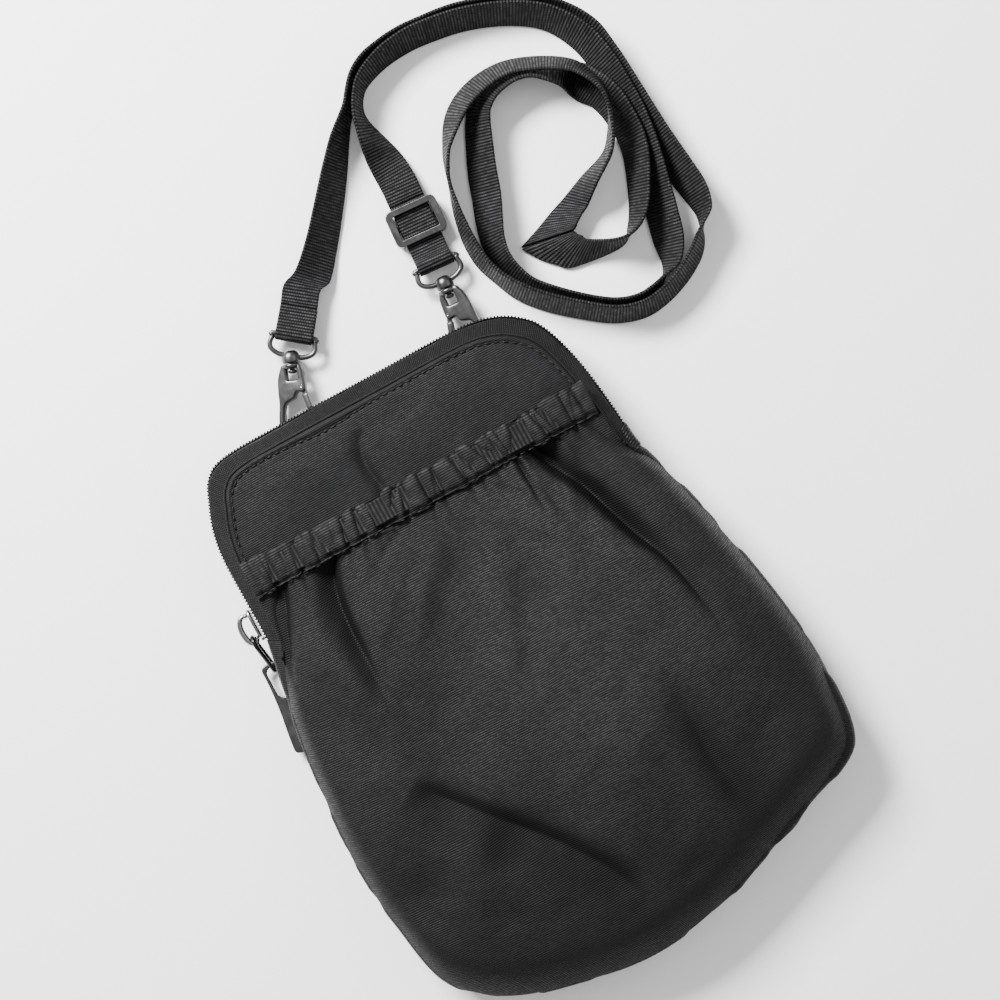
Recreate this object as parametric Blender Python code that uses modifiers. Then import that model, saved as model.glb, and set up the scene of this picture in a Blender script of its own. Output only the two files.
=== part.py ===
"""Crossbody pouch with a zipped main compartment, a gathered front pocket
and a webbing shoulder strap on two swivel snap hooks.

The pouch lies on its back. The origin is on the outside of the back panel,
+Z points out of the front and +Y towards the zip along the top.
"""
import math

import bmesh
import bpy
from mathutils import Matrix, Vector

# Running gaps
GAP = 0.0003
PIN_GAP = 0.00015
OVERRUN = 0.001

# Pouch body
BODY_HALF_WIDTH = 0.0844
BODY_HALF_HEIGHT = 0.1071
PANEL_THICKNESS = 0.0012
CLOTH_THICKNESS = 0.001
BODY_DEPTH = 0.0192
SEAM_INSET = 0.006
TOP_OVERHANG = 0.023
LINING_THICKNESS = 0.0006
LINING_CLEARANCE = 0.0008

# Front pocket
POCKET_BULGE = 0.0105
CASING_WIDTH = 0.013
CASING_HEIGHT = 0.003
CASING_WALL = 0.0008
CASING_Y = 0.0654
ELASTIC_WIDTH = 0.008
ELASTIC_THICKNESS = 0.0009

# Zip
COIL_RADIUS = 0.00075
COIL_ROW_GAP = 0.001
SLIDER_Y = 0.053
SLIDER_LENGTH = 0.010
SLIDER_HEIGHT = 0.0058
SLIDER_PLATE = 0.0011
SLIDER_ROOM = 0.0026
BRIDGE_LENGTH = 0.0022
BRIDGE_THICKNESS = 0.0005
BAIL_WIRE = 0.0006
BAIL_REACH = 0.0038
LINK_WIRE = 0.0006
LINK_ARC = 0.0024
LINK_DROP_Y = 0.0088
LINK_DROP_Z = 0.010
TAB_LENGTH = 0.032
TAB_WIDTH = 0.0065
TAB_THICKNESS = 0.0012
TAB_BAR = 0.0015
TAB_SLOT_LENGTH = 0.011
TAB_SLOT_WIDTH = 0.0042
TAB_SHIFT = 0.0009
STOP_LENGTH = 0.0011
STOP_THICKNESS = 0.0008
END_TAB_LENGTH = 0.009
END_TAB_HEIGHT = 0.012

# Webbing strap
WEBBING_WIDTH = 0.0127
WEBBING_THICKNESS = 0.0011
STRAP_STEP = 0.0078
SKIM = 0.00005

# Rings in the webbing tabs
RING_WIRE = 0.001
RING_INNER_HALF = 0.0069
RING_LENGTH = 0.010
RING_ROLL = math.radians(19.0)
RING_HEIGHT = 0.0046
TAB_ROOT_GAP = 0.0008

# Swivel snap hooks
SEAT_TO_BOSS = 0.0247
HOOK_HALF_WIDTH = 0.0066
HOOK_THICKNESS = 0.0028
HOOK_ROLL = math.radians(19.0)
DOME_RADIUS = 0.0031
DOME_LENGTH = 0.0043
COLLAR_RADIUS = 0.003
COLLAR_LENGTH = 0.0016
STEM_RADIUS = 0.0009
RIVET_RADIUS = 0.0014
RIVET_LENGTH = 0.0014
WINDOW_LENGTH = 0.0038
WINDOW_HALF_WIDTH = 0.0019
EYE_WIRE = 0.0009
EYE_HALF_WIDTH = 0.0086
EYE_LENGTH = 0.0069
GATE_THICKNESS = 0.0026
GATE_WIDTH = 0.002
TONGUE_THICKNESS = 0.0012
SLOT_THICKNESS = 0.0018
GATE_PIN_RADIUS = 0.00055

# Tri-glide on the right end of the strap
GLIDE_LENGTH = 0.013
GLIDE_WIDTH = 0.0185
GLIDE_BAR = 0.0022
GLIDE_PLATE = 0.0012
GLIDE_CORNER = 0.0022
GLIDE_DISTANCE = 0.01555
GLIDE_SIDE_GAP = 0.0004

# Where the two hooks lie, with the rings' reach beyond the back panel
LEFT_RING_X = -0.03025
LEFT_RING_REACH = 0.00928
LEFT_HOOK_TURN = math.radians(-22.0)
LEFT_EYE_TURN = math.radians(-16.0)
RIGHT_RING_X = 0.03475
RIGHT_RING_REACH = 0.00494
RIGHT_HOOK_TURN = math.radians(-3.9)
RIGHT_EYE_TURN = 0.0

# Outline of the pouch, in shares of its half width and half height:
# the zipped edge from its left end over the top to its right end, then
# the gusset down the right side, round the bottom and up the left side.
ZIP_EDGE_SHARES = (
    (-0.858, 0.430), (-0.858, 0.580), (-0.858, 0.711), (-0.841, 0.806), (-0.804, 0.888), (-0.757, 0.958),
    (-0.664, 0.993), (-0.400, 0.999), (0.000, 0.999), (0.360, 0.999), (0.520, 0.981), (0.626, 0.936),
    (0.692, 0.872), (0.745, 0.742), (0.776, 0.586), (0.796, 0.430),
)
GUSSET_EDGE_SHARES = (
    (0.824, 0.367), (0.895, 0.180), (0.975, -0.101), (1.022, -0.351), (1.029, -0.540), (1.008, -0.680),
    (0.934, -0.756), (0.697, -0.835), (0.301, -0.950), (-0.096, -1.002), (-0.492, -0.955), (-0.729, -0.885),
    (-0.888, -0.756), (-0.947, -0.538), (-0.968, -0.413), (-0.971, -0.226), (-0.935, 0.086), (-0.885, 0.300),
)
# Height up the gusset as shares of the body depth, with the shares of the
# seam inset and of the top overhang that the cloth has there.
ZIP_HEIGHT_SHARE = 0.61
ZIP_FLAT_SHARE = (COIL_ROW_GAP / 2 + 2 * COIL_RADIUS + 2 * GAP) / BODY_DEPTH
GUSSET_PROFILE_SHARES = (
    (0.0, 1.0, 1.0), (0.18, 0.42, 0.976), (0.38, 0.05, 0.88), (ZIP_HEIGHT_SHARE - ZIP_FLAT_SHARE, 0.0, 0.0),
    (ZIP_HEIGHT_SHARE + ZIP_FLAT_SHARE, 0.0, 0.0), (0.86, 0.14, 0.05), (1.0, 1.0, 0.261),
)
ZIP_SAMPLES = 34
GUSSET_SAMPLES = 40
# Height of the pocket along a line from its mouth to its seam.
POCKET_RISE_SHARES = ((0.0, 0.66), (0.2, 0.78), (0.4, 0.92), (0.6, 0.98), (0.75, 0.86), (0.88, 0.56), (0.96, 0.26), (1.0, 0.0))
POCKET_EDGE_RISE_SHARES = ((0.0, 0.66), (0.2, 0.65), (0.4, 0.61), (0.6, 0.52), (0.75, 0.39), (0.88, 0.22), (0.96, 0.09), (1.0, 0.0))

# Outline of the hook's blade and claw, across in shares of its half width
# and along in shares of the distance from its seat to its swivel.
HOOK_OUTLINE_SHARES = (
    (-0.45, 0.901), (0.45, 0.901), (0.66, 0.83), (0.80, 0.738), (0.86, 0.65), (0.89, 0.50), (0.894, 0.364), (1.0, 0.162), (1.0, -0.061),
    (0.848, -0.186), (0.485, -0.263), (0.0, -0.287), (-0.485, -0.263), (-0.864, -0.186), (-1.015, -0.061), (-1.015, 0.101),
    (-0.939, 0.243), (-0.667, 0.243), (-0.682, 0.101), (-0.682, -0.049), (-0.545, -0.130), (-0.273, -0.178), (0.0, -0.190),
    (0.273, -0.178), (0.545, -0.130), (0.667, -0.049), (0.667, 0.142), (0.60, 0.30), (0.45, 0.37), (0.20, 0.40),
    (-0.02, 0.43), (-0.18, 0.505), (-0.636, 0.518), (-0.591, 0.80),
)
EYE_SHARES = ((0.0, -0.02), (0.45, 0.0), (0.72, 0.09), (0.92, 0.24), (1.0, 0.42), (0.99, 0.62), (0.94, 0.82), (0.88, 1.0))
GATE_PIVOT_SHARES = (-0.485, 0.579)
GATE_END_SHARES = (-0.803, 0.267)
GATE_LEAF_SHARE = 0.33

# Centre line of the pull tab, as shares of its length along and outwards.
TAB_CURVE_SHARES = ((0.0, 0.0), (0.15, 0.0), (0.35, 0.012), (0.55, 0.034), (0.75, 0.066), (0.9, 0.086), (1.0, 0.094))
BAIL_SHARES = ((0.0, 0.34), (0.45, 0.36), (0.85, 0.20), (1.0, -0.10), (0.86, -0.45), (0.42, -0.62),
               (0.12, -0.53), (0.0, -0.44))

# Route of the strap's two halves: across, along, lean from upright in
# degrees and lift, in millimetres. The routes are laid beyond a back panel
# whose top is at ROUTE_PANEL_TOP.
MM = 0.001
ROUTE_PANEL_TOP = 0.084
LEFT_ROUTE = (
    (-1.5, 146.8, -74, 1.6), (6, 154.5, -54, 0), (13.5, 163.5, -46, 0),
    (21, 173, -38, 0), (28, 182, -25, 0), (32.5, 187, -14, 0), (36, 190.5, -10, 0), (39, 194.5, -9, 0),
    (42, 198, -9, 0), (45.5, 200.5, -10, 0), (49.5, 202, -13, 0), (54, 202.5, -18, 0), (61, 203, -22, 0),
    (69, 202.5, -25, 0), (84, 200.5, -25, 0), (99.5, 194.5, -26, 0), (111.5, 187, -30, 0), (119, 176, -36, 0),
    (121, 164.5, -39, 0), (122, 149.5, -41, 0), (123, 133, -43, 0), (124.5, 119.5, -42, 0), (125.5, 110.5, -36, 0),
    (125, 103.5, -20, 0), (122.5, 99.5, 0, 0), (119.5, 95.5, 16, 0), (115.5, 91.5, 22, 0), (108, 87, 22, 0),
    (99, 84, 22, 0), (91, 83.5, 22, 0), (82, 86.5, 21, 0), (72.5, 93.5, 22, 0), (64, 101, 22, 0),
    (57.5, 108.5, 20, 0), (53.5, 116, 14, 0), (51, 123.5, 16, 0), (50.5, 131, 16, 0), (51, 137.5, 12, 0),
    (52, 144, 7, 0), (54, 152, 0, 0), (56.5, 158.5, 6, 0), (59, 163, 12, 0), (65, 170, 29, 0),
    (71.5, 174.5, 34, 0), (80, 177, 34, 0.3), (89.5, 177, 31, 0.3), (100, 173, 30, 0.8), (108.5, 167, 27, 3.6),
    (112, 160.5, 20, 6.2), (113.5, 154.5, 13, 6.6), (113, 149, 6, 5), (110, 141.5, -4, 2.2), (105.5, 135.5, -12, 0.3),
    (96, 130.5, -28, 0), (87.5, 125.5, -42, 0), (81, 122.5, -57, 0.6), (77.5, 120.5, -66, 1.4), (75, 119.5, -70, 1.7),
)
RIGHT_ROUTE = (
    (74, 119.5, -88, 0), (76, 116.5, -87, 0), (79, 113.5, -82, 0), (83, 110.5, -64, 0), (88, 107.5, -35, 0),
    (95, 107, -8, 0), (101.5, 109.5, 14, 0), (106.5, 115, 26, 0), (110.5, 122.5, 32, 0), (114, 130.5, 38, 0),
    (115.5, 137.5, 41, 0), (115.5, 144.5, 44, 0), (115, 150, 49, 0), (113.5, 155, 54, 0), (111, 159, 68, 0),
    (109, 163, 100, 0), (105, 166.5, 130, 0), (100, 169.5, 148, 0), (95.5, 172, 156, 0), (89.5, 173.5, 156, 0),
    (82, 173, 150, 0), (76, 170.5, 142, 0), (72.5, 166, 140, 0), (69, 158.5, 135, 0), (65.5, 150, 131, 0),
    (63, 142.5, 130, 0), (60, 135, 135, 0), (57.5, 127, 144, 0), (57.5, 119, 154, 0), (60.5, 110, 158, 0),
    (66, 103, 158, 0), (74.5, 95, 158, 0), (83, 89, 160, 0), (91, 86.5, 162, 0), (98, 87.5, 168, 0),
    (103, 90, 180, 0), (107, 93, 204, 0), (110, 100, 228, 0), (112.5, 109.5, 232, 0), (115, 119, 226, 0),
    (117, 127, 222, 0), (118.5, 135, 221, 0), (119.5, 144.5, 221, 0), (119.5, 153.5, 220, 0), (119, 163.5, 219, 0),
    (116.5, 174.5, 216, 0), (109.5, 185.5, 209, 0), (98.5, 193, 206, 0), (84, 198.5, 205, 0), (69, 201, 205, 0),
    (60.5, 201, 203, 0), (54, 200, 200, 0), (48, 198, 196, 0), (43.5, 195.5, 192, 0), (40.5, 192, 190, 0),
    (38.5, 188, 193, 0), (37.8, 183.5, 202, 0), (38, 177, 222, 0), (38.4, 171, 244, 0), (38.8, 165.5, 262, 1.4),
)

# Heights that follow from the sizes above
BACK_SEAM_Z = PANEL_THICKNESS + GAP
FRONT_SEAM_Z = BACK_SEAM_Z + BODY_DEPTH
FRONT_Z = FRONT_SEAM_Z + GAP
POCKET_Z = FRONT_Z + PANEL_THICKNESS + GAP
ZIP_Z = BACK_SEAM_Z + ZIP_HEIGHT_SHARE * BODY_DEPTH
COIL_OFFSET = COIL_ROW_GAP / 2 + COIL_RADIUS
COIL_EDGE = COIL_ROW_GAP / 2 + 2 * COIL_RADIUS + GAP

for stale in list(bpy.data.objects):
    bpy.data.objects.remove(stale, do_unlink=True)


def collection(name):
    made = bpy.data.collections.new(name)
    bpy.context.scene.collection.children.link(made)
    return made


parts = collection("crossbody_pouch")
cutters = collection("cutters")
cutters.hide_render = True


def material(name, colour, roughness, metallic=0.0):
    made = bpy.data.materials.new(name)
    made.use_nodes = True
    shader = made.node_tree.nodes["Principled BSDF"]
    shader.inputs["Base Color"].default_value = (*colour, 1.0)
    shader.inputs["Roughness"].default_value = roughness
    shader.inputs["Metallic"].default_value = metallic
    return made


NYLON = (0.032, 0.033, 0.036)
WEBBING = (0.026, 0.027, 0.029)
LINING = (0.020, 0.020, 0.022)
BLACK = (0.010, 0.010, 0.011)
GUNMETAL = (0.300, 0.300, 0.310)
SILVER = (0.560, 0.560, 0.570)
DARK_METAL = (0.075, 0.075, 0.080)


def add(name, data, colour=None, roughness=0.8, metallic=0.0, into=parts, parent=None):
    made = bpy.data.objects.new(name, data)
    into.objects.link(made)
    if colour is not None:
        data.materials.append(material(name, colour, roughness, metallic))
    if into is cutters:
        made.hide_render = True
        made.display_type = "WIRE"
    made.parent = parent
    return made


def empty(name, place, turn=(0.0, 0.0, 0.0), parent=None):
    made = add(name, None, parent=parent)
    made.location = place
    made.rotation_euler = turn
    return made


def spline_points(rows, per=8):
    """Smooth curve through rows of any width."""
    rows = [Vector(row) for row in rows]
    rows = [2 * rows[0] - rows[1]] + rows + [2 * rows[-1] - rows[-2]]
    found = []
    for i in range(1, len(rows) - 2):
        a, b, c, d = rows[i - 1:i + 3]
        for k in range(per):
            t = k / per
            found.append(0.5 * (2 * b + (c - a) * t + (2 * a - 5 * b + 4 * c - d) * t * t + (3 * b - a - 3 * c + d) * t ** 3))
    return found + [rows[-2]]


def lengths(points, axes=3):
    run = [0.0]
    for a, b in zip(points, points[1:]):
        run.append(run[-1] + (Vector(b[:axes]) - Vector(a[:axes])).length)
    return run


def at_length(points, run, wanted):
    for i in range(1, len(points)):
        if run[i] >= wanted or i == len(points) - 1:
            share = (wanted - run[i - 1]) / max(run[i] - run[i - 1], 1e-12)
            return points[i - 1].lerp(points[i], min(max(share, 0.0), 1.0))
    return points[-1]


def between(shares, t):
    for (t0, a), (t1, b) in zip(shares, shares[1:]):
        if t <= t1:
            return a + (b - a) * (t - t0) / (t1 - t0)
    return shares[-1][1]


# The closed outline, and the lengths along it where the zip ends
edge = [(x * BODY_HALF_WIDTH, y * BODY_HALF_HEIGHT) for x, y in ZIP_EDGE_SHARES + GUSSET_EDGE_SHARES]
wrapped = [edge[-1]] + edge + edge[:2]
outline = spline_points(wrapped)[8:-8]
outline_run = lengths(outline, 2)
ZIP_RUN = outline_run[8 * (len(ZIP_EDGE_SHARES) - 1)]
WHOLE_RUN = outline_run[-1]


def zip_lengths(trim=1.5 * GAP):
    first, last = trim, ZIP_RUN - trim
    return [first + (last - first) * i / ZIP_SAMPLES for i in range(ZIP_SAMPLES + 1)]


def gusset_lengths():
    first, last = ZIP_RUN + 1.5 * GAP, WHOLE_RUN - 1.5 * GAP
    return [first + (last - first) * i / GUSSET_SAMPLES for i in range(GUSSET_SAMPLES + 1)]


def profile(z):
    """Insets of the cloth at a height: at the sides and at the top."""
    share = (z - BACK_SEAM_Z) / BODY_DEPTH
    side = between([(row[0], row[1]) for row in GUSSET_PROFILE_SHARES], share)
    top = between([(row[0], row[2]) for row in GUSSET_PROFILE_SHARES], share)
    return side * SEAM_INSET, top * TOP_OVERHANG


def ring_point(run, z, side, top):
    p = at_length(outline, outline_run, run)
    across = p.x * (1 - side / BODY_HALF_WIDTH)
    along = p.y * (1 - (top if p.y > 0 else side) / BODY_HALF_HEIGHT)
    return Vector((across, along, z))


def cloth_ring(runs, z, extra=0.0):
    side, top = profile(z)
    return [ring_point(run, z, side + extra, top + extra) for run in runs]


def sheet(name, rows, thickness, colour, outward, roughness=0.85, offset=-1.0, parent=None):
    """Cloth of one thickness over rows of points."""
    mesh = bpy.data.meshes.new(name)
    count = len(rows[0])
    points = [p for row in rows for p in row]
    faces = []
    for r in range(len(rows) - 1):
        for c in range(count - 1):
            a = r * count + c
            faces.append((a, a + 1, a + 1 + count, a + count))
    first = [Vector(points[i]) for i in faces[len(faces) // 2]]
    normal = (first[1] - first[0]).cross(first[2] - first[0])
    if normal.dot(outward((first[0] + first[2]) / 2)) < 0:
        faces = [tuple(reversed(face)) for face in faces]
    mesh.from_pydata(points, [], faces)
    made = add(name, mesh, colour, roughness, parent=parent)
    solid = made.modifiers.new("thickness", "SOLIDIFY")
    solid.thickness = thickness
    solid.offset = offset
    solid.use_even_offset = True
    return made


def plate(name, loops, low, high, colour=None, roughness=0.8, metallic=0.0, into=parts, parent=None):
    """Flat outline with any holes, from one height to another."""
    data = bpy.data.curves.new(name, "CURVE")
    data.dimensions = "2D"
    data.fill_mode = "BOTH"
    data.extrude = (high - low) / 2
    for loop in loops:
        line = data.splines.new("POLY")
        line.points.add(len(loop) - 1)
        for point, place in zip(line.points, loop):
            point.co = (place[0], place[1], 0.0, 1.0)
        line.use_cyclic_u = True
    made = add(name, data, colour, roughness, metallic, into, parent)
    made.location = (0.0, 0.0, (low + high) / 2)
    return made


def wire(name, points, radius, colour, roughness, metallic, cyclic=False, resolution=2, parent=None, into=parts):
    data = bpy.data.curves.new(name, "CURVE")
    data.dimensions = "3D"
    data.bevel_depth = radius
    data.bevel_resolution = resolution
    data.use_fill_caps = True
    line = data.splines.new("POLY")
    line.points.add(len(points) - 1)
    for point, place in zip(line.points, points):
        point.co = (*place, 1.0)
    line.use_cyclic_u = cyclic
    return add(name, data, colour, roughness, metallic, into, parent)


def as_mesh(item):
    """Turn a curve object into a mesh object of the same name."""
    bpy.context.view_layer.update()
    graph = bpy.context.evaluated_depsgraph_get()
    mesh = bpy.data.meshes.new_from_object(item.evaluated_get(graph))
    work = bmesh.new()
    work.from_mesh(mesh)
    bmesh.ops.remove_doubles(work, verts=work.verts, dist=MERGE)
    bmesh.ops.recalc_face_normals(work, faces=work.faces)
    work.to_mesh(mesh)
    work.free()
    name, parent, local = item.name, item.parent, item.matrix_local.copy()
    homes = list(item.users_collection)
    wired = item.display_type
    bpy.data.objects.remove(item, do_unlink=True)
    made = bpy.data.objects.new(name, mesh)
    for home in homes:
        home.objects.link(made)
    made.parent = parent
    made.matrix_local = local
    made.display_type = wired
    made.hide_render = wired == "WIRE"
    return made


MERGE = 0.00001


def box(name, size, place, colour=None, roughness=0.8, metallic=0.0, into=parts, parent=None):
    mesh = bpy.data.meshes.new(name)
    work = bmesh.new()
    bmesh.ops.create_cube(work, size=1.0)
    bmesh.ops.scale(work, vec=size, verts=work.verts)
    work.to_mesh(mesh)
    work.free()
    made = add(name, mesh, colour, roughness, metallic, into, parent)
    made.location = place
    return made


def rod(name, radius, length, place, axis, sides=16, colour=None, roughness=0.8, metallic=0.0, into=parts, parent=None):
    mesh = bpy.data.meshes.new(name)
    work = bmesh.new()
    bmesh.ops.create_cone(work, cap_ends=True, segments=sides, radius1=radius, radius2=radius, depth=length)
    if axis == "Y":
        bmesh.ops.rotate(work, verts=work.verts, matrix=Matrix.Rotation(math.pi / 2, 3, "X"))
    if axis == "X":
        bmesh.ops.rotate(work, verts=work.verts, matrix=Matrix.Rotation(math.pi / 2, 3, "Y"))
    work.to_mesh(mesh)
    work.free()
    made = add(name, mesh, colour, roughness, metallic, into, parent)
    made.location = place
    return made


def combine(target, tool, operation):
    change = target.modifiers.new(tool.name, "BOOLEAN")
    change.operation = operation
    change.solver = "EXACT"
    change.object = tool


def outward_flat(p):
    return Vector((p.x, p.y, 0.0))


def upward(p):
    return Vector((0.0, 0.0, 1.0))


# Pouch body
whole = zip_lengths() + gusset_lengths()
BACK_TOP_Y = BODY_HALF_HEIGHT * 0.999 * (1 - TOP_OVERHANG / BODY_HALF_HEIGHT)
back_line = [p[:2] for p in cloth_ring(whole, BACK_SEAM_Z)]
plate("back_panel", [back_line], 0.0, PANEL_THICKNESS, NYLON)
front_line = [ring_point(run, 0.0, SEAM_INSET, SEAM_INSET)[:2] for run in whole]
plate("front_panel", [front_line], FRONT_Z, FRONT_Z + PANEL_THICKNESS, NYLON)

profile_heights = [BACK_SEAM_Z + row[0] * BODY_DEPTH for row in GUSSET_PROFILE_SHARES]
rear_heights = [z for z in profile_heights if z < ZIP_Z - COIL_EDGE] + [ZIP_Z - COIL_EDGE]
front_heights = [ZIP_Z + COIL_EDGE] + [z for z in profile_heights if z > ZIP_Z + COIL_EDGE]
sheet("side_gusset", [cloth_ring(gusset_lengths(), z) for z in profile_heights], CLOTH_THICKNESS, NYLON, outward_flat)
sheet("zip_gusset", [cloth_ring(zip_lengths(), z) for z in rear_heights], CLOTH_THICKNESS, NYLON, outward_flat)
sheet("zip_tape", [cloth_ring(zip_lengths(), z) for z in front_heights], CLOTH_THICKNESS, NYLON, outward_flat)
for name, z in (("zip_coil_rear", ZIP_Z - COIL_OFFSET), ("zip_coil_front", ZIP_Z + COIL_OFFSET)):
    centre = cloth_ring(zip_lengths(2 * GAP), z, CLOTH_THICKNESS / 2)
    wire(name, centre, COIL_RADIUS, BLACK, 0.45, 0.0, resolution=1)

lining_inset = SEAM_INSET + CLOTH_THICKNESS + LINING_CLEARANCE
lining_top = TOP_OVERHANG + CLOTH_THICKNESS + LINING_CLEARANCE
back_lining = [ring_point(run, 0.0, lining_inset, lining_top)[:2] for run in whole]
plate("lining_back", [back_lining], BACK_SEAM_Z, BACK_SEAM_Z + LINING_THICKNESS, LINING)
front_lining = [ring_point(run, 0.0, lining_inset, lining_inset)[:2] for run in whole]
plate("lining_front", [front_lining], FRONT_SEAM_Z - LINING_THICKNESS, FRONT_SEAM_Z, LINING)

# Front pocket: lines from the middle of its mouth to its seam
pocket_runs = [run for run in gusset_lengths()]
seam = [ring_point(run, POCKET_Z, SEAM_INSET, SEAM_INSET) for run in pocket_runs]
mouth_y = CASING_Y - CASING_WIDTH / 2 - GAP
full = [ring_point(run, POCKET_Z, SEAM_INSET, SEAM_INSET) for run in whole]


def seam_at(y, side):
    """Where the front seam crosses a height, on one side."""
    for a, b in zip(full, full[1:] + full[:1]):
        if (a.y - y) * (b.y - y) <= 0 and a.y != b.y:
            p = a.lerp(b, (y - a.y) / (b.y - a.y))
            if p.x * side > 0:
                return p
    return full[0]


right_end = seam_at(mouth_y, 1)
left_end = seam_at(mouth_y, -1)
pocket_seam = [right_end] + [p for p in full if p.y < mouth_y - CASING_WIDTH / 4] + [left_end]
pocket_seam = [pocket_seam[0]] + sorted(pocket_seam[1:-1], key=lambda p: -math.atan2(p.x, -(p.y - mouth_y))) + [pocket_seam[-1]]
mouth_middle = (right_end + left_end) / 2


def pocket_rise(r, turn):
    """Height share: r from the mouth's middle, turn 0 to 1 round the seam."""
    edge_share = between(POCKET_EDGE_RISE_SHARES, r)
    bulge_share = between(POCKET_RISE_SHARES, r)
    weight = min(1.0, 2.2 * math.sin(math.pi * turn)) * min(1.0, 3.0 * r)
    return edge_share + (bulge_share - edge_share) * weight


def pocket_sheet():
    mesh = bpy.data.meshes.new("pocket_panel")
    reach = [r for r, share in POCKET_RISE_SHARES[1:]]
    count = len(pocket_seam)
    points = [mouth_middle + Vector((0.0, 0.0, POCKET_BULGE * pocket_rise(0.0, 0.0) + CLOTH_THICKNESS))]
    for r in reach:
        for i, p in enumerate(pocket_seam):
            rise = POCKET_BULGE * pocket_rise(r, i / (count - 1)) + CLOTH_THICKNESS
            points.append(mouth_middle.lerp(p, r) + Vector((0.0, 0.0, rise)))
    faces = [(0, 1 + i + 1, 1 + i) for i in range(count - 1)]
    for k in range(len(reach) - 1):
        for i in range(count - 1):
            a = 1 + k * count + i
            faces.append((a, a + 1, a + 1 + count, a + count))
    a, b, c = (Vector(points[i]) for i in faces[0])
    if (b - a).cross(c - a).z < 0:
        faces = [tuple(reversed(face)) for face in faces]
    mesh.from_pydata(points, [], faces)
    work = bmesh.new()
    work.from_mesh(mesh)
    bmesh.ops.recalc_face_normals(work, faces=work.faces)
    if sum(face.normal.z for face in work.faces) < 0:
        bmesh.ops.reverse_faces(work, faces=work.faces)
    work.to_mesh(mesh)
    work.free()
    made = add("pocket_panel", mesh, NYLON, 0.85)
    solid = made.modifiers.new("thickness", "SOLIDIFY")
    solid.thickness = CLOTH_THICKNESS
    solid.offset = -1.0
    return made


pocket_sheet()

# Gathered casing along the pocket's mouth, and the elastic in it
casing_left = seam_at(CASING_Y, -1)
casing_right = seam_at(CASING_Y, 1)
CASING_STATIONS = 24
CASING_SIDES = 12


def casing_centre(share):
    p = casing_left.lerp(casing_right, share)
    r = abs(2 * share - 1)
    rise = max(POCKET_BULGE * between(POCKET_EDGE_RISE_SHARES, r), 0.0)
    return p + Vector((0.0, 0.0, rise + CASING_HEIGHT / 2))


casing_rows = []
for i in range(CASING_STATIONS + 1):
    centre = casing_centre(i / CASING_STATIONS)
    row = []
    for k in range(CASING_SIDES):
        angle = 2 * math.pi * k / CASING_SIDES
        flat = abs(math.sin(angle)) ** 0.5 * math.copysign(1, math.sin(angle))
        row.append(centre + Vector((0.0, CASING_WIDTH / 2 * math.cos(angle), CASING_HEIGHT / 2 * flat)))
    casing_rows.append(row)


def tunnel(name, rows, thickness, colour):
    mesh = bpy.data.meshes.new(name)
    count = len(rows[0])
    faces = []
    for r in range(len(rows) - 1):
        for c in range(count):
            a, b = r * count + c, r * count + (c + 1) % count
            faces.append((a, b, b + count, a + count))
    mesh.from_pydata([p for row in rows for p in row], [], faces)
    work = bmesh.new()
    work.from_mesh(mesh)
    work.normal_update()
    centre = sum((v.co for v in work.verts), Vector()) / len(work.verts)
    if sum((f.calc_center_median() - centre).z * f.normal.z for f in work.faces) < 0:
        bmesh.ops.reverse_faces(work, faces=work.faces)
    work.to_mesh(mesh)
    work.free()
    made = add(name, mesh, colour, 0.85)
    solid = made.modifiers.new("thickness", "SOLIDIFY")
    solid.thickness = thickness
    solid.offset = -1.0
    return made


tunnel("pocket_casing", casing_rows, CASING_WALL, NYLON)
elastic_rows = []
for i in range(CASING_STATIONS + 1):
    centre = casing_centre(i / CASING_STATIONS)
    half = Vector((0.0, ELASTIC_WIDTH / 2, 0.0))
    elastic_rows.append([centre - half, centre + half])
sheet("pocket_elastic", elastic_rows, ELASTIC_THICKNESS, LINING, upward, offset=0.0)

# Zip end tab and stop
end_run = ZIP_RUN - END_TAB_LENGTH / 4
end_here = cloth_ring([end_run], ZIP_Z)[0]
end_next = cloth_ring([end_run + END_TAB_LENGTH / 4], ZIP_Z)[0]
run_direction = (end_next - end_here).normalized()
side_direction = Vector((-run_direction.y, run_direction.x, 0.0))
if side_direction.x < 0:
    side_direction = -side_direction
tab_place = end_here + side_direction * (2 * GAP + CLOTH_THICKNESS / 2)
end_tab = box("zip_end_tab", (CLOTH_THICKNESS, END_TAB_LENGTH, END_TAB_HEIGHT), tab_place, WEBBING)
end_tab.rotation_euler = (0.0, 0.0, math.atan2(run_direction.y, run_direction.x) + math.pi / 2)

left_edge = cloth_ring([1.5 * GAP], ZIP_Z)[0]
coil_x = left_edge.x + CLOTH_THICKNESS / 2
stop_place = (coil_x - COIL_RADIUS - GAP - STOP_THICKNESS / 2, left_edge.y + STOP_LENGTH / 2, ZIP_Z)
stop_size = (STOP_THICKNESS, STOP_LENGTH, 2 * COIL_EDGE)
box("zip_stop", stop_size, stop_place, SILVER, 0.3, 1.0)

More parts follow.
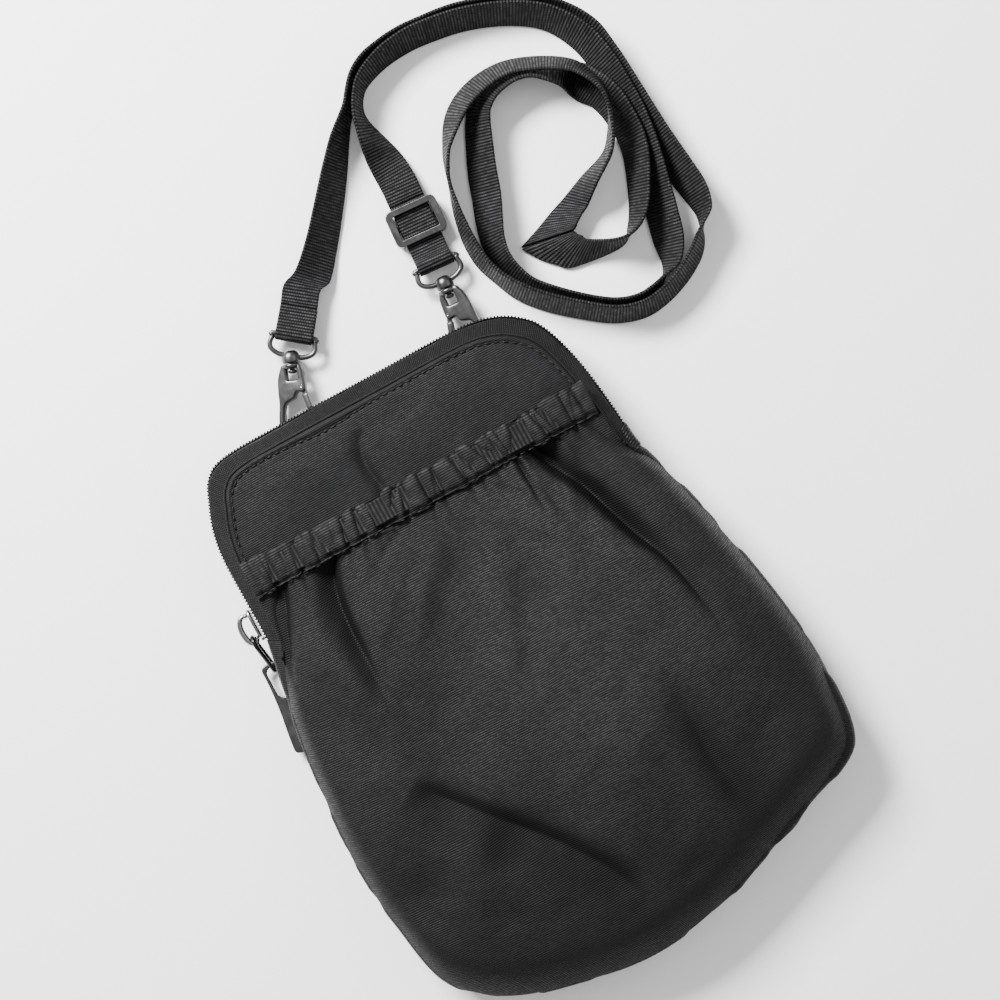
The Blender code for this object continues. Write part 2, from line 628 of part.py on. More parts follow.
# Zip slider with its bail, link and pull tab
slider_axis = empty("slider_axis", (coil_x, SLIDER_Y, ZIP_Z))
outer_x = -(SLIDER_ROOM + SLIDER_PLATE) / 2
plate_size = (SLIDER_PLATE, SLIDER_LENGTH, SLIDER_HEIGHT)
slider = box("zip_slider", plate_size, (outer_x, 0.0, 0.0), SILVER, 0.3, 1.0, parent=slider_axis)
inner = box("slider_inner", plate_size, (-outer_x, 0.0, 0.0), into=cutters, parent=slider_axis)
bridge_size = (SLIDER_ROOM + SLIDER_PLATE, BRIDGE_LENGTH, BRIDGE_THICKNESS)
bridge_place = (0.0, (SLIDER_LENGTH - BRIDGE_LENGTH) / 2 - GAP, 0.0)
bridge = box("slider_bridge", bridge_size, bridge_place, into=cutters, parent=slider_axis)
combine(slider, inner, "UNION")
combine(slider, bridge, "UNION")

bail_start = -(SLIDER_ROOM / 2 + SLIDER_PLATE + 2 * GAP)
bail_points = [(bail_start - out * BAIL_REACH, along * SLIDER_LENGTH, 0.0) for out, along in BAIL_SHARES]
bail_points = [p[:] for p in spline_points(bail_points, 3)]
wire("slider_bail", bail_points, BAIL_WIRE, SILVER, 0.28, 1.0, resolution=1, parent=slider_axis)

link_x = bail_start - BAIL_SHARES[-3][0] * BAIL_REACH
link_axis = empty("link_axis", (link_x, BAIL_SHARES[-3][1] * SLIDER_LENGTH + LINK_ARC, 0.0), parent=slider_axis)
link_angle = math.atan2(LINK_DROP_Z, LINK_DROP_Y)
link_length = math.hypot(LINK_DROP_Y, LINK_DROP_Z)
link_points = []
for start, centre in ((-0.5, 0.0), (0.5, -link_length)):
    for k in range(7):
        angle = math.pi * (start + 1.0 * k / 6)
        link_points.append((0.0, centre + LINK_ARC * math.cos(angle), LINK_ARC * math.sin(angle)))
pull_link = wire("pull_link", link_points, LINK_WIRE, DARK_METAL, 0.35, 1.0, True, 1, link_axis)
pull_link.location = (0.0, -LINK_ARC, 0.0)
pull_link.rotation_euler = (link_angle, 0.0, 0.0)

pull_axis = empty("pull_axis", (0.0, -LINK_DROP_Y - 2 * LINK_ARC, -LINK_DROP_Z - LINK_WIRE), parent=link_axis)
tab_centre = spline_points([(-out * TAB_LENGTH, -along * TAB_LENGTH + TAB_BAR / 2) for along, out in TAB_CURVE_SHARES], 3)
corner = TAB_WIDTH * 0.3
left_side, right_side = [], []
for i, p in enumerate(tab_centre):
    ahead = tab_centre[min(i + 1, len(tab_centre) - 1)]
    behind = tab_centre[max(i - 1, 0)]
    direction = (Vector(ahead) - Vector(behind)).normalized()
    normal = Vector((direction.y, -direction.x))
    far = min(i, len(tab_centre) - 1 - i)
    half = TAB_WIDTH / 2 - (corner if far == 0 else 0.0)
    left_side.append(tuple(Vector(p) + normal * half))
    right_side.append(tuple(Vector(p) - normal * half))
slot = []
for k in range(12):
    angle = 2 * math.pi * k / 12
    run = TAB_SLOT_LENGTH / 2 - TAB_SLOT_WIDTH / 2
    middle = -TAB_BAR / 2 - TAB_SLOT_LENGTH / 2
    slot.append((TAB_SLOT_WIDTH / 2 * math.cos(angle), middle + math.copysign(run, math.sin(angle + 0.01)) + TAB_SLOT_WIDTH / 2 * math.sin(angle)))
pull_tab = plate("pull_tab", [left_side + right_side[::-1], slot], 0.0, TAB_THICKNESS, GUNMETAL, 0.32, 1.0, parent=pull_axis)
pull_tab.location = (-TAB_SHIFT, LINK_ARC, 0.0)


def webbing(name, path, colour, parent=None, width=WEBBING_WIDTH, rolls=None):
    """Webbing that bends along a path of (along, height), flat across."""
    rows = []
    for i, (along, height) in enumerate(path):
        roll = rolls[i] if rolls else 0.0
        half = Vector((math.cos(roll), 0.0, -math.sin(roll))) * (width / 2)
        centre = Vector((0.0, along, height))
        rows.append([centre - half, centre + half])
    return sheet(name, rows, WEBBING_THICKNESS, colour, upward, offset=0.0, parent=parent)


def wrap(radius, centre, steps=6):
    """Half turn round a bar, from its top over its near side to its foot."""
    points = []
    for k in range(steps + 1):
        angle = math.pi / 2 + math.pi * k / steps
        points.append((centre[0] + radius * math.cos(angle), centre[1] + radius * math.sin(angle)))
    return points


def round_bar(start, centre, radius, finish, steps=8):
    """From one point over a bar's far side to another, along its tangents."""
    over = math.atan2(start[1] - centre[1], start[0] - centre[0])
    first = over - math.acos(radius / math.dist(start, centre))
    under = math.atan2(finish[1] - centre[1], finish[0] - centre[0])
    last = under + math.acos(radius / math.dist(finish, centre))
    while first < last:
        first += 2 * math.pi
    while first - last > 2 * math.pi:
        first -= 2 * math.pi
    turns = [first + (last - first) * k / steps for k in range(steps + 1)]
    return [start] + [(centre[0] + radius * math.cos(t), centre[1] + radius * math.sin(t)) for t in turns] + [finish]


def ring_and_hook(side, ring_x, ring_y, hook_turn, eye_turn, hand):
    """Tab, ring, hook, gate and swivel eye on one side."""
    # ring in its tab, rolled so that it threads the hook
    roll_axis = empty("ring_axis_" + side, (ring_x, ring_y, RING_HEIGHT), (0.0, RING_ROLL, 0.0))
    ring_points = []
    bow = RING_INNER_HALF + RING_WIRE
    straight = RING_LENGTH - bow * 0.75
    for x, y in ((-bow, 0.0), (-bow, straight)):
        ring_points.append((x, y, 0.0))
    for k in range(1, 8):
        angle = math.pi * (1 - k / 8)
        ring_points.append((bow * math.cos(angle), straight + 0.75 * bow * math.sin(angle), 0.0))
    for x, y in ((bow, straight), (bow, 0.0)):
        ring_points.append((x, y, 0.0))
    wire("d_ring_" + side, ring_points, RING_WIRE, GUNMETAL, 0.3, 1.0, True, 1, roll_axis)

    # folded webbing tab from the back seam round the ring's bar
    place = empty("tab_place_" + side, (ring_x, 0.0, 0.0))
    root = BACK_TOP_Y + TAB_ROOT_GAP
    turn = RING_WIRE + GAP + WEBBING_THICKNESS / 2
    low, high = SKIM + WEBBING_THICKNESS / 2, SKIM + 1.5 * WEBBING_THICKNESS + GAP
    path = round_bar((root, high), (ring_y, RING_HEIGHT), turn, (root, low))
    rolls = [0.0] + [RING_ROLL] * (len(path) - 2) + [0.0]
    webbing("webbing_tab_" + side, path, WEBBING, place, rolls=rolls)

    # hook in its own frame: seat at zero, swivel at SEAT_TO_BOSS, gate
    # towards -x times its hand
    seat = (ring_x, ring_y + RING_LENGTH, RING_HEIGHT)
    turned = empty("hook_axis_" + side, seat, (0.0, 0.0, hook_turn))
    rolled = empty("hook_roll_" + side, (0.0, 0.0, 0.0), (0.0, -HOOK_ROLL, 0.0), turned)
    half = HOOK_THICKNESS / 2
    blade_line = [(hand * x * HOOK_HALF_WIDTH, y * SEAT_TO_BOSS) for x, y in HOOK_OUTLINE_SHARES]
    if hand < 0:
        blade_line.reverse()
    blade = as_mesh(plate("hook_body_" + side, [blade_line], -half, half, GUNMETAL, 0.3, 1.0, parent=rolled))
    collar_y = SEAT_TO_BOSS - DOME_LENGTH / 2 - GAP - COLLAR_LENGTH / 2
    collar_place = (0.0, collar_y, 0.0)
    collar = rod("collar_" + side, COLLAR_RADIUS, COLLAR_LENGTH, collar_place, "Y", 16, into=cutters, parent=rolled)
    combine(blade, collar, "UNION")
    window_y = collar_y - COLLAR_LENGTH / 2 - WINDOW_LENGTH / 2
    window_size = (2 * WINDOW_HALF_WIDTH, WINDOW_LENGTH, HOOK_THICKNESS + 2 * OVERRUN)
    window = box("window_" + side, window_size, (0.0, window_y, 0.0), into=cutters, parent=rolled)
    combine(blade, window, "DIFFERENCE")
    bore_length = COLLAR_LENGTH + 2 * OVERRUN
    bore = rod("bore_" + side, STEM_RADIUS + PIN_GAP, bore_length, collar_place, "Y", 16, into=cutters, parent=rolled)
    combine(blade, bore, "DIFFERENCE")
    pivot = Vector((hand * GATE_PIVOT_SHARES[0] * HOOK_HALF_WIDTH, GATE_PIVOT_SHARES[1] * SEAT_TO_BOSS, 0.0))
    slot_size = (HOOK_HALF_WIDTH * 0.62, 4.6 * GATE_WIDTH / 2, SLOT_THICKNESS)
    slot_place = (pivot.x + hand * GATE_WIDTH * 0.05, pivot.y - GATE_WIDTH * 0.1, 0.0)
    slot_cut = box("slot_" + side, slot_size, slot_place, into=cutters, parent=rolled)
    combine(blade, slot_cut, "DIFFERENCE")
    pin_bore = rod("pin_bore_" + side, GATE_PIN_RADIUS + PIN_GAP, HOOK_THICKNESS + 2 * OVERRUN, pivot, "Z", 12, into=cutters, parent=rolled)
    combine(blade, pin_bore, "DIFFERENCE")

    # gate leaf on its pin
    end = Vector((hand * GATE_END_SHARES[0] * HOOK_HALF_WIDTH, GATE_END_SHARES[1] * SEAT_TO_BOSS, 0.0))
    reach = end - pivot
    gate_axis = empty("gate_axis_" + side, pivot, (0.0, 0.0, math.atan2(reach.y, reach.x) + math.pi / 2), rolled)
    leaf_start = GATE_LEAF_SHARE * reach.length
    leaf_size = (GATE_WIDTH, reach.length - leaf_start, GATE_THICKNESS)
    gate = box("hook_gate_" + side, leaf_size, (0.0, 0.0, 0.0), GUNMETAL, 0.3, 1.0, parent=gate_axis)
    for vertex in gate.data.vertices:
        vertex.co.y -= (reach.length + leaf_start) / 2
    tongue_size = (0.85 * GATE_WIDTH, leaf_start + GATE_WIDTH / 2, TONGUE_THICKNESS)
    tongue = box("tongue_" + side, tongue_size, (0.0, -leaf_start / 2, 0.0), into=cutters, parent=gate_axis)
    knuckle = rod("knuckle_" + side, 0.45 * GATE_WIDTH + GAP / 2, TONGUE_THICKNESS, (0.0, 0.0, 0.0), "Z", 12, into=cutters, parent=gate_axis)
    gate_bore = rod("gate_bore_" + side, GATE_PIN_RADIUS + PIN_GAP, HOOK_THICKNESS, (0.0, 0.0, 0.0), "Z", 12, into=cutters, parent=gate_axis)
    combine(gate, tongue, "UNION")
    combine(gate, knuckle, "UNION")
    combine(gate, gate_bore, "DIFFERENCE")
    rod("gate_pin_" + side, GATE_PIN_RADIUS, HOOK_THICKNESS, pivot, "Z", 12, SILVER, 0.3, 1.0, parent=rolled)

    # swivel eye: rivet head in the window, stem through the collar, dome, ring
    eye_axis = empty("eye_axis_" + side, (0.0, SEAT_TO_BOSS, 0.0), parent=turned)
    head_y = -DOME_LENGTH / 2 - 2 * GAP - COLLAR_LENGTH - RIVET_LENGTH / 2
    stem_length = -head_y
    eye = rod("swivel_eye_" + side, STEM_RADIUS, stem_length, (0.0, 0.0, 0.0), "Y", 12, GUNMETAL, 0.3, 1.0, parent=eye_axis)
    for vertex in eye.data.vertices:
        vertex.co.y += head_y / 2
    head = rod("rivet_" + side, RIVET_RADIUS, RIVET_LENGTH, (0.0, head_y, 0.0), "Y", 12, into=cutters, parent=eye_axis)
    dome = rod("dome_" + side, DOME_RADIUS, DOME_LENGTH, (0.0, 0.0, 0.0), "Y", 16, into=cutters, parent=eye_axis)
    tilt = empty("eye_tilt_" + side, (0.0, GAP, 0.0), (0.0, 0.0, eye_turn), eye_axis)
    half_eye = EYE_HALF_WIDTH - EYE_WIRE
    eye_points = [(x * half_eye, y * EYE_LENGTH, 0.0) for x, y in EYE_SHARES]
    eye_points += [(-x, y, z) for x, y, z in reversed(eye_points[1:])]
    loop_tool = as_mesh(wire("eye_ring_" + side, eye_points, EYE_WIRE, None, 0.3, 1.0, True, 1, tilt, cutters))
    combine(eye, head, "UNION")
    combine(eye, dome, "UNION")
    combine(eye, loop_tool, "UNION")
    bar = empty("eye_bar_" + side, (0.0, EYE_LENGTH, 0.0), parent=tilt)
    return bar


left_ring_y = BACK_TOP_Y + LEFT_RING_REACH
right_ring_y = BACK_TOP_Y + RIGHT_RING_REACH
left_bar = ring_and_hook("left", LEFT_RING_X, left_ring_y, LEFT_HOOK_TURN, LEFT_EYE_TURN, -1.0)
right_bar = ring_and_hook("right", RIGHT_RING_X, right_ring_y, RIGHT_HOOK_TURN, RIGHT_EYE_TURN, 1.0)

# Webbing round the eyes, in frames at the eyes' bars
EYE_TURN = EYE_WIRE + GAP + WEBBING_THICKNESS / 2
PLY = WEBBING_THICKNESS + GAP
STUB_LENGTH = 0.78 * WEBBING_WIDTH
stub_top = 0.0004
stub = [(STUB_LENGTH, stub_top), (0.6 * STUB_LENGTH, 0.45 * EYE_TURN), (0.25 * STUB_LENGTH, 0.86 * EYE_TURN)]
stub += wrap(EYE_TURN, (0.0, 0.0))
stub += [(0.3 * STUB_LENGTH, -0.95 * EYE_TURN), (0.65 * STUB_LENGTH, stub_top - PLY - GAP), (0.98 * STUB_LENGTH, stub_top - PLY)]
webbing("strap_end_left", stub, WEBBING, left_bar)

glide_low = SKIM + WEBBING_THICKNESS + GAP - RING_HEIGHT
ply_b = SKIM + WEBBING_THICKNESS / 2 - RING_HEIGHT
ply_a = glide_low + GLIDE_PLATE + GAP + WEBBING_THICKNESS / 2
glide_high = ply_a + WEBBING_THICKNESS / 2 + GAP + GLIDE_PLATE
loop_end = GLIDE_DISTANCE + GLIDE_LENGTH / 2 + 3 * GAP
flat_from = GLIDE_DISTANCE - 0.72 * GLIDE_LENGTH
loop = [(loop_end, ply_a), (flat_from, ply_a), (0.22 * flat_from, 0.96 * EYE_TURN)]
loop += wrap(EYE_TURN, (0.0, 0.0))
loop += [(0.5 * flat_from, (ply_b - EYE_TURN) / 2), (flat_from, ply_b), (GLIDE_DISTANCE + GLIDE_BAR / 2, ply_b)]
webbing("strap_loop_right", loop, WEBBING, right_bar)

# Tri-glide: end bars over the webbing, centre bar under it
glide_axis = empty("glide_axis", (0.0, GLIDE_DISTANCE, 0.0), parent=right_bar)


def rounded(half_x, half_y, radius, steps=3):
    found = []
    for sx, sy, first in ((1, 1, 0), (-1, 1, 1), (-1, -1, 2), (1, -1, 3)):
        for k in range(steps + 1):
            angle = math.pi / 2 * (first + k / steps)
            found.append((sx * (half_x - radius) + radius * math.cos(angle), sy * (half_y - radius) + radius * math.sin(angle)))
    return found


rail_x = WEBBING_WIDTH / 2 + GLIDE_SIDE_GAP
end_y = GLIDE_LENGTH / 2 - GLIDE_BAR
frame_line = rounded(GLIDE_WIDTH / 2, GLIDE_LENGTH / 2, GLIDE_CORNER)
glide = as_mesh(plate("tri_glide", [frame_line], glide_low, glide_high, GUNMETAL, 0.3, 1.0, parent=glide_axis))
glide_middle = (glide_low + glide_high) / 2
hole_size = (2 * rail_x, 2 * end_y, glide_high - glide_low + 2 * OVERRUN)
hole = box("glide_hole", hole_size, (0.0, 0.0, glide_middle), into=cutters, parent=glide_axis)
under_height = glide_high - GLIDE_PLATE - glide_low
under_size = (2 * rail_x, GLIDE_LENGTH + 2 * OVERRUN, under_height + OVERRUN)
under_place = (0.0, 0.0, glide_low + (under_height - OVERRUN) / 2)
under = box("glide_under", under_size, under_place, into=cutters, parent=glide_axis)
bar_size = (2 * rail_x + GLIDE_BAR, GLIDE_BAR, GLIDE_PLATE)
bar = box("glide_bar", bar_size, (0.0, 0.0, glide_low + GLIDE_PLATE / 2), into=cutters, parent=glide_axis)
combine(glide, hole, "DIFFERENCE")
combine(glide, under, "DIFFERENCE")
combine(glide, bar, "UNION")

# The strap's two free halves
bpy.context.view_layer.update()


def strap(name, rows):
    """Webbing ribbon along a route of (x, y, lean, z)."""
    line = [Vector(row) for row in rows]
    smooth = spline_points(line)
    run = lengths(smooth)
    steps = max(2, round(run[-1] / STRAP_STEP))
    data = bpy.data.curves.new(name, "CURVE")
    data.dimensions = "3D"
    data.twist_mode = "Z_UP"
    data.extrude = (WEBBING_WIDTH - WEBBING_THICKNESS) / 2
    data.bevel_depth = WEBBING_THICKNESS / 2
    data.bevel_resolution = 0
    data.use_fill_caps = True
    ribbon = data.splines.new("POLY")
    ribbon.points.add(steps)
    for i, point in enumerate(ribbon.points):
        place = at_length(smooth, run, run[-1] * i / steps)
        point.co = (place[0], place[1], place[2], 1.0)
        point.tilt = math.radians(place[3] * TILT_UNIT)
    print(name, "length mm", round(run[-1] / MM, 1))
    return add(name, data, WEBBING, 0.85)


TILT_UNIT = 1000.0


def route_rows(rows):
    found = []
    for x, y, lean, lift in rows:
        angle = math.radians(lean)
        rest = WEBBING_WIDTH / 2 * abs(math.cos(angle)) + WEBBING_THICKNESS / 2 * abs(math.sin(angle))
        found.append((x * MM, y * MM + BACK_TOP_Y - ROUTE_PANEL_TOP, rest + lift * MM + SKIM, lean / TILT_UNIT))
    return found


def end_row(frame, along, height, lean):
    place = frame.matrix_world @ Vector((0.0, along, height))
    return (place.x, place.y, place.z, lean / TILT_UNIT)


left_start = STUB_LENGTH + 3 * GAP
left_rows = [end_row(left_bar, left_start, stub_top, -90.0), end_row(left_bar, left_start + 0.45 * WEBBING_WIDTH, stub_top, -88.0)]
left_rows += route_rows(LEFT_ROUTE)
strap("strap_left", left_rows)
right_end_rows = [end_row(right_bar, loop_end + GAP + 0.45 * GLIDE_LENGTH, ply_a, 270.0), end_row(right_bar, loop_end + GAP, ply_a, 270.0)]
strap("strap_right", route_rows(RIGHT_ROUTE) + right_end_rows)
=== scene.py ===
import math

import bmesh
import bpy
import numpy as np
from mathutils import Matrix, Vector


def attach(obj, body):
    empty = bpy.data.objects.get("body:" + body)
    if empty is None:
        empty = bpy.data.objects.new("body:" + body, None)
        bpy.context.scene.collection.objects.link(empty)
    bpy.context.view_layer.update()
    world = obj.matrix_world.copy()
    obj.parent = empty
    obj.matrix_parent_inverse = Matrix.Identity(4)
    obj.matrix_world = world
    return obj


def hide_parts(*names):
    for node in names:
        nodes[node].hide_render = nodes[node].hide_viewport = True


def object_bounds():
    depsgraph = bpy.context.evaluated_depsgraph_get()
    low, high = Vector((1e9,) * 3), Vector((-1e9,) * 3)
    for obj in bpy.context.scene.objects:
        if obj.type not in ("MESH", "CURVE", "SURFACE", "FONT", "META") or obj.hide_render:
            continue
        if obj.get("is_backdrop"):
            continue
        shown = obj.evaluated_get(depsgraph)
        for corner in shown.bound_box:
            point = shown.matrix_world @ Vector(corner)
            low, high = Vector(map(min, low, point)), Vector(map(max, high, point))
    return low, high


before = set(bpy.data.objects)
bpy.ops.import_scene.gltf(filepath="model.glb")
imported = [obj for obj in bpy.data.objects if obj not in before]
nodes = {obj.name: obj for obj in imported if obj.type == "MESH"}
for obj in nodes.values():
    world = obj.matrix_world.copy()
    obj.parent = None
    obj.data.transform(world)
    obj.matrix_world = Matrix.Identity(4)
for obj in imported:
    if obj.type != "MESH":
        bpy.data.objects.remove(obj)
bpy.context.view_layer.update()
mm = 0.001
print("stage: frame loaded")

# camera at the angle of the picture
cameraView = {
    "overX": 18.0, "overY": 50.0, "height": 700.0, "turn": -28.5, "lens": 74.12, "sensor": 36.0, "near": 0.05,
    "far": 20.0,
}
cameraData = bpy.data.cameras.new("photoCamera")
camera = bpy.data.objects.new("photoCamera", cameraData)
bpy.context.scene.collection.objects.link(camera)
camera.location = (cameraView["overX"] * mm, cameraView["overY"] * mm, cameraView["height"] * mm)
camera.rotation_euler = (0.0, 0.0, math.radians(cameraView["turn"]))
cameraData.lens = cameraView["lens"]
cameraData.sensor_width = cameraView["sensor"]
cameraData.clip_start = cameraView["near"]
cameraData.clip_end = cameraView["far"]
bpy.context.scene.camera = camera


# small helpers for meshes
def addMesh(name, points, faces, material):
    # points in metres
    mesh = bpy.data.meshes.new(name)
    mesh.from_pydata([tuple(p) for p in points], [], faces)
    work = bmesh.new()
    work.from_mesh(mesh)
    bmesh.ops.recalc_face_normals(work, faces=work.faces)
    work.to_mesh(mesh)
    work.free()
    mesh.polygons.foreach_set("use_smooth", [True] * len(mesh.polygons))
    mesh.materials.append(material)
    item = bpy.data.objects.new(name, mesh)
    bpy.context.scene.collection.objects.link(item)
    return item


def settle(piece, body, node=None):
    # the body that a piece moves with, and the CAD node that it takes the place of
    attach(piece, body)
    if node:
        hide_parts(node)


def clothCoordinates(item, values):
    # along and across the cloth in millimetres, for the weave
    layer = item.data.attributes.new("clothMm", "FLOAT_VECTOR", "POINT")
    layer.data.foreach_set("vector", np.asarray(values, np.float32).ravel())


def clothShadow(item, values):
    # painted shade: share of the light threads' colour taken away at the sides and in deep folds, which leaves a
    # painted sheen where it is low
    layer = item.data.attributes.new("clothShadow", "FLOAT", "POINT")
    layer.data.foreach_set("value", np.asarray(values, np.float32).ravel())


def gridFaces(rows, columns, closed=False):
    faces = []
    last = columns if closed else columns - 1
    for r in range(rows - 1):
        for c in range(last):
            a = r * columns + c
            b = r * columns + (c + 1) % columns
            faces.append((a, b, b + columns, a + columns))
    return faces


def tubeFaces(rows, columns):
    # rings joined to a tube, with a flat face at both ends
    start = (rows - 1) * columns
    return gridFaces(rows, columns, True) + [tuple(range(columns)), tuple(start + c for c in range(columns))]


def smoothLine(rows, per=8):
    # a soft curve through every row, with a number of steps per row
    rows = [np.array(row, float) for row in rows]
    rows = [2 * rows[0] - rows[1]] + rows + [2 * rows[-1] - rows[-2]]
    found = []
    for i in range(1, len(rows) - 2):
        a, b, c, d = rows[i - 1:i + 3]
        for k in range(per):
            t = k / per
            bend = (2 * a - 5 * b + 4 * c - d) * t * t + (3 * b - a - 3 * c + d) * t ** 3
            found.append(0.5 * (2 * b + (c - a) * t + bend))
    found.append(rows[-2])
    return np.array(found)


def runAlong(line):
    # distance from the start of a line to each of its points
    return np.concatenate([[0.0], np.cumsum(np.linalg.norm(np.diff(line, axis=0), axis=1))])


def resampled(line, step):
    # even steps along a line whose first three columns are its place
    run = runAlong(line[:, :3])
    count = max(2, int(round(run[-1] / step)))
    wanted = np.linspace(0.0, run[-1], count + 1)
    return np.stack([np.interp(wanted, run, line[:, k]) for k in range(line.shape[1])], axis=1)


def unit(v):
    v = np.asarray(v, float)
    return v / np.maximum(np.linalg.norm(v, axis=-1, keepdims=True), 1e-12)


def sweep(name, path, radii, material, sides=16, closed=False, squash=1.0, up=(0.0, 0.0, 1.0)):
    # tube of round or oval section along a path, one radius or one per point, in millimetres
    path = np.asarray(path, float) * mm
    radii = np.broadcast_to(np.asarray(radii, float) * mm, (len(path),)).copy()
    capShare = 0.45
    if closed:
        tangent = unit(np.roll(path, -1, axis=0) - np.roll(path, 1, axis=0))
    else:
        tangent = unit(np.gradient(path, axis=0))
        first = path[0] - tangent[0] * radii[0] * capShare
        last = path[-1] + tangent[-1] * radii[-1] * capShare
        path = np.vstack([first, path, last])
        tangent = np.vstack([tangent[0], tangent, tangent[-1]])
        radii = np.concatenate([[radii[0] * capShare], radii, [radii[-1] * capShare]])
    side = unit(np.cross(tangent, np.broadcast_to(np.asarray(up, float), path.shape)))
    top = unit(np.cross(side, tangent))
    angle = np.linspace(0.0, 2 * math.pi, sides, endpoint=False)[None, :, None]
    ring = np.cos(angle) * side[:, None, :] + squash * np.sin(angle) * top[:, None, :]
    points = (path[:, None, :] + radii[:, None, None] * ring).reshape(-1, 3)
    faces = tubeFaces(len(path), sides)
    if closed:
        start = (len(path) - 1) * sides
        faces[-2:] = [(start + c, start + (c + 1) % sides, (c + 1) % sides, c) for c in range(sides)]
    return addMesh(name, points, faces, material)


def lathe(name, profile, material, sides=28):
    # turned about y, from rows of (radius, place along y) in millimetres
    profile = smoothLine(profile, 4)
    angle = np.linspace(0.0, 2 * math.pi, sides, endpoint=False)
    points = [(r * math.cos(a) * mm, y * mm, r * math.sin(a) * mm) for r, y in profile for a in angle]
    return addMesh(name, points, tubeFaces(len(profile), sides), material)


def plateWithEdge(name, loops, thickness, edgeRound, material, middle=0.0, resolution=3):
    # flat outline with holes, its edges rounded, in millimetres
    data = bpy.data.curves.new(name + "Line", "CURVE")
    data.dimensions = "2D"
    data.fill_mode = "BOTH"
    data.extrude = max(thickness / 2 - edgeRound, 0.01) * mm
    data.bevel_depth = edgeRound * mm
    data.bevel_resolution = resolution
    data.offset = -edgeRound * mm
    for loop in loops:
        line = data.splines.new("POLY")
        line.points.add(len(loop) - 1)
        for point, spot in zip(line.points, loop):
            point.co = (spot[0] * mm, spot[1] * mm, 0.0, 1.0)
        line.use_cyclic_u = True
    holder = bpy.data.objects.new(name + "Line", data)
    bpy.context.scene.collection.objects.link(holder)
    bpy.context.view_layer.update()
    mesh = bpy.data.meshes.new_from_object(holder.evaluated_get(bpy.context.evaluated_depsgraph_get()))
    bpy.data.objects.remove(holder, do_unlink=True)
    work = bmesh.new()
    work.from_mesh(mesh)
    bmesh.ops.remove_doubles(work, verts=work.verts, dist=0.002 * mm)
    bmesh.ops.translate(work, verts=work.verts, vec=(0.0, 0.0, middle * mm))
    bmesh.ops.recalc_face_normals(work, faces=work.faces)
    work.to_mesh(mesh)
    work.free()
    mesh.name = name
    mesh.materials.clear()
    mesh.materials.append(material)
    item = bpy.data.objects.new(name, mesh)
    bpy.context.scene.collection.objects.link(item)
    shadeByAngle(item, 35)
    return item


def shadeByAngle(item, degrees):
    # smooth faces, with a crisp line where they meet at more than an angle
    mesh = item.data
    mesh.polygons.foreach_set("use_smooth", [True] * len(mesh.polygons))
    work = bmesh.new()
    work.from_mesh(mesh)
    for edge in work.edges:
        if len(edge.link_faces) == 2:
            edge.smooth = edge.calc_face_angle(0.0) < math.radians(degrees)
    work.to_mesh(mesh)
    work.free()


def joined(name, items):
    # one piece from several meshes that touch
    work = bmesh.new()
    materials = []
    for item in items:
        mesh = item.data
        start = len(work.faces)
        copy = mesh.copy()
        copy.transform(item.matrix_world)
        slots = []
        for material in mesh.materials:
            if material not in materials:
                materials.append(material)
            slots.append(materials.index(material))
        work.from_mesh(copy)
        work.faces.ensure_lookup_table()
        for face in work.faces[start:]:
            face.material_index = slots[face.material_index] if slots else 0
        bpy.data.meshes.remove(copy)
    mesh = bpy.data.meshes.new(name)
    work.to_mesh(mesh)
    work.free()
    for material in materials:
        mesh.materials.append(material)
    for item in items:
        bpy.data.objects.remove(item, do_unlink=True)
    made = bpy.data.objects.new(name, mesh)
    bpy.context.scene.collection.objects.link(made)
    return made


def within(value):
    return np.clip(value, 0.0, 1.0)


def bell(off, width):
    return np.exp(-(off / width) ** 2)


def shift(x, y, z):
    return Matrix.Translation((x * mm, y * mm, z * mm))


def turned(degrees, axis):
    return Matrix.Rotation(math.radians(degrees), 4, axis)


def placed(item, matrix):
    item.data.transform(matrix)
    item.data.update()
    return item


def gridNoise(x, y, size, seed):
    # smooth lumps of a given size over a plane
    cells = 64
    table = np.random.default_rng(seed).uniform(-1.0, 1.0, (cells, cells))
    u, v = np.asarray(x) / size, np.asarray(y) / size
    i, j = np.floor(u).astype(int), np.floor(v).astype(int)
    fu, fv = u - i, v - j
    fu, fv = fu * fu * (3 - 2 * fu), fv * fv * (3 - 2 * fv)
    a, b = table[i % cells, j % cells], table[(i + 1) % cells, j % cells]
    c, d = table[i % cells, (j + 1) % cells], table[(i + 1) % cells, (j + 1) % cells]
    return (a * (1 - fu) + b * fu) * (1 - fv) + (c * (1 - fu) + d * fu) * fv


def alongFold(x, y, rows, near, far):
    # strength of a fold beside a line of (x, y, strength); near and far are its widths on either side
    flank = 1.45
    line = smoothLine(rows, 6)
    best = np.full(np.shape(x), np.inf)
    value = np.zeros(np.shape(x))
    for (ax, ay, sa), (bx, by, sb) in zip(line, line[1:]):
        dx, dy = bx - ax, by - ay
        size = max(dx * dx + dy * dy, 1e-9)
        t = within(((x - ax) * dx + (y - ay) * dy) / size)
        ox, oy = x - ax - t * dx, y - ay - t * dy
        distance = np.hypot(ox, oy)
        width = np.where(dx * oy - dy * ox > 0, near, far)
        closer = distance < best
        best = np.where(closer, distance, best)
        value = np.where(closer, (sa + (sb - sa) * t) * np.exp(-(distance / width) ** flank), value)
    return value


# shader groups
def newGroup(name, inputs, outputs):
    tree = bpy.data.node_groups.new(name, "ShaderNodeTree")
    for label, kind, value in inputs:
        socket = tree.interface.new_socket(name=label, in_out="INPUT", socket_type=kind)
        if value is not None:
            socket.default_value = value
    for label, kind in outputs:
        tree.interface.new_socket(name=label, in_out="OUTPUT", socket_type=kind)
    return tree, tree.nodes.new("NodeGroupInput"), tree.nodes.new("NodeGroupOutput")


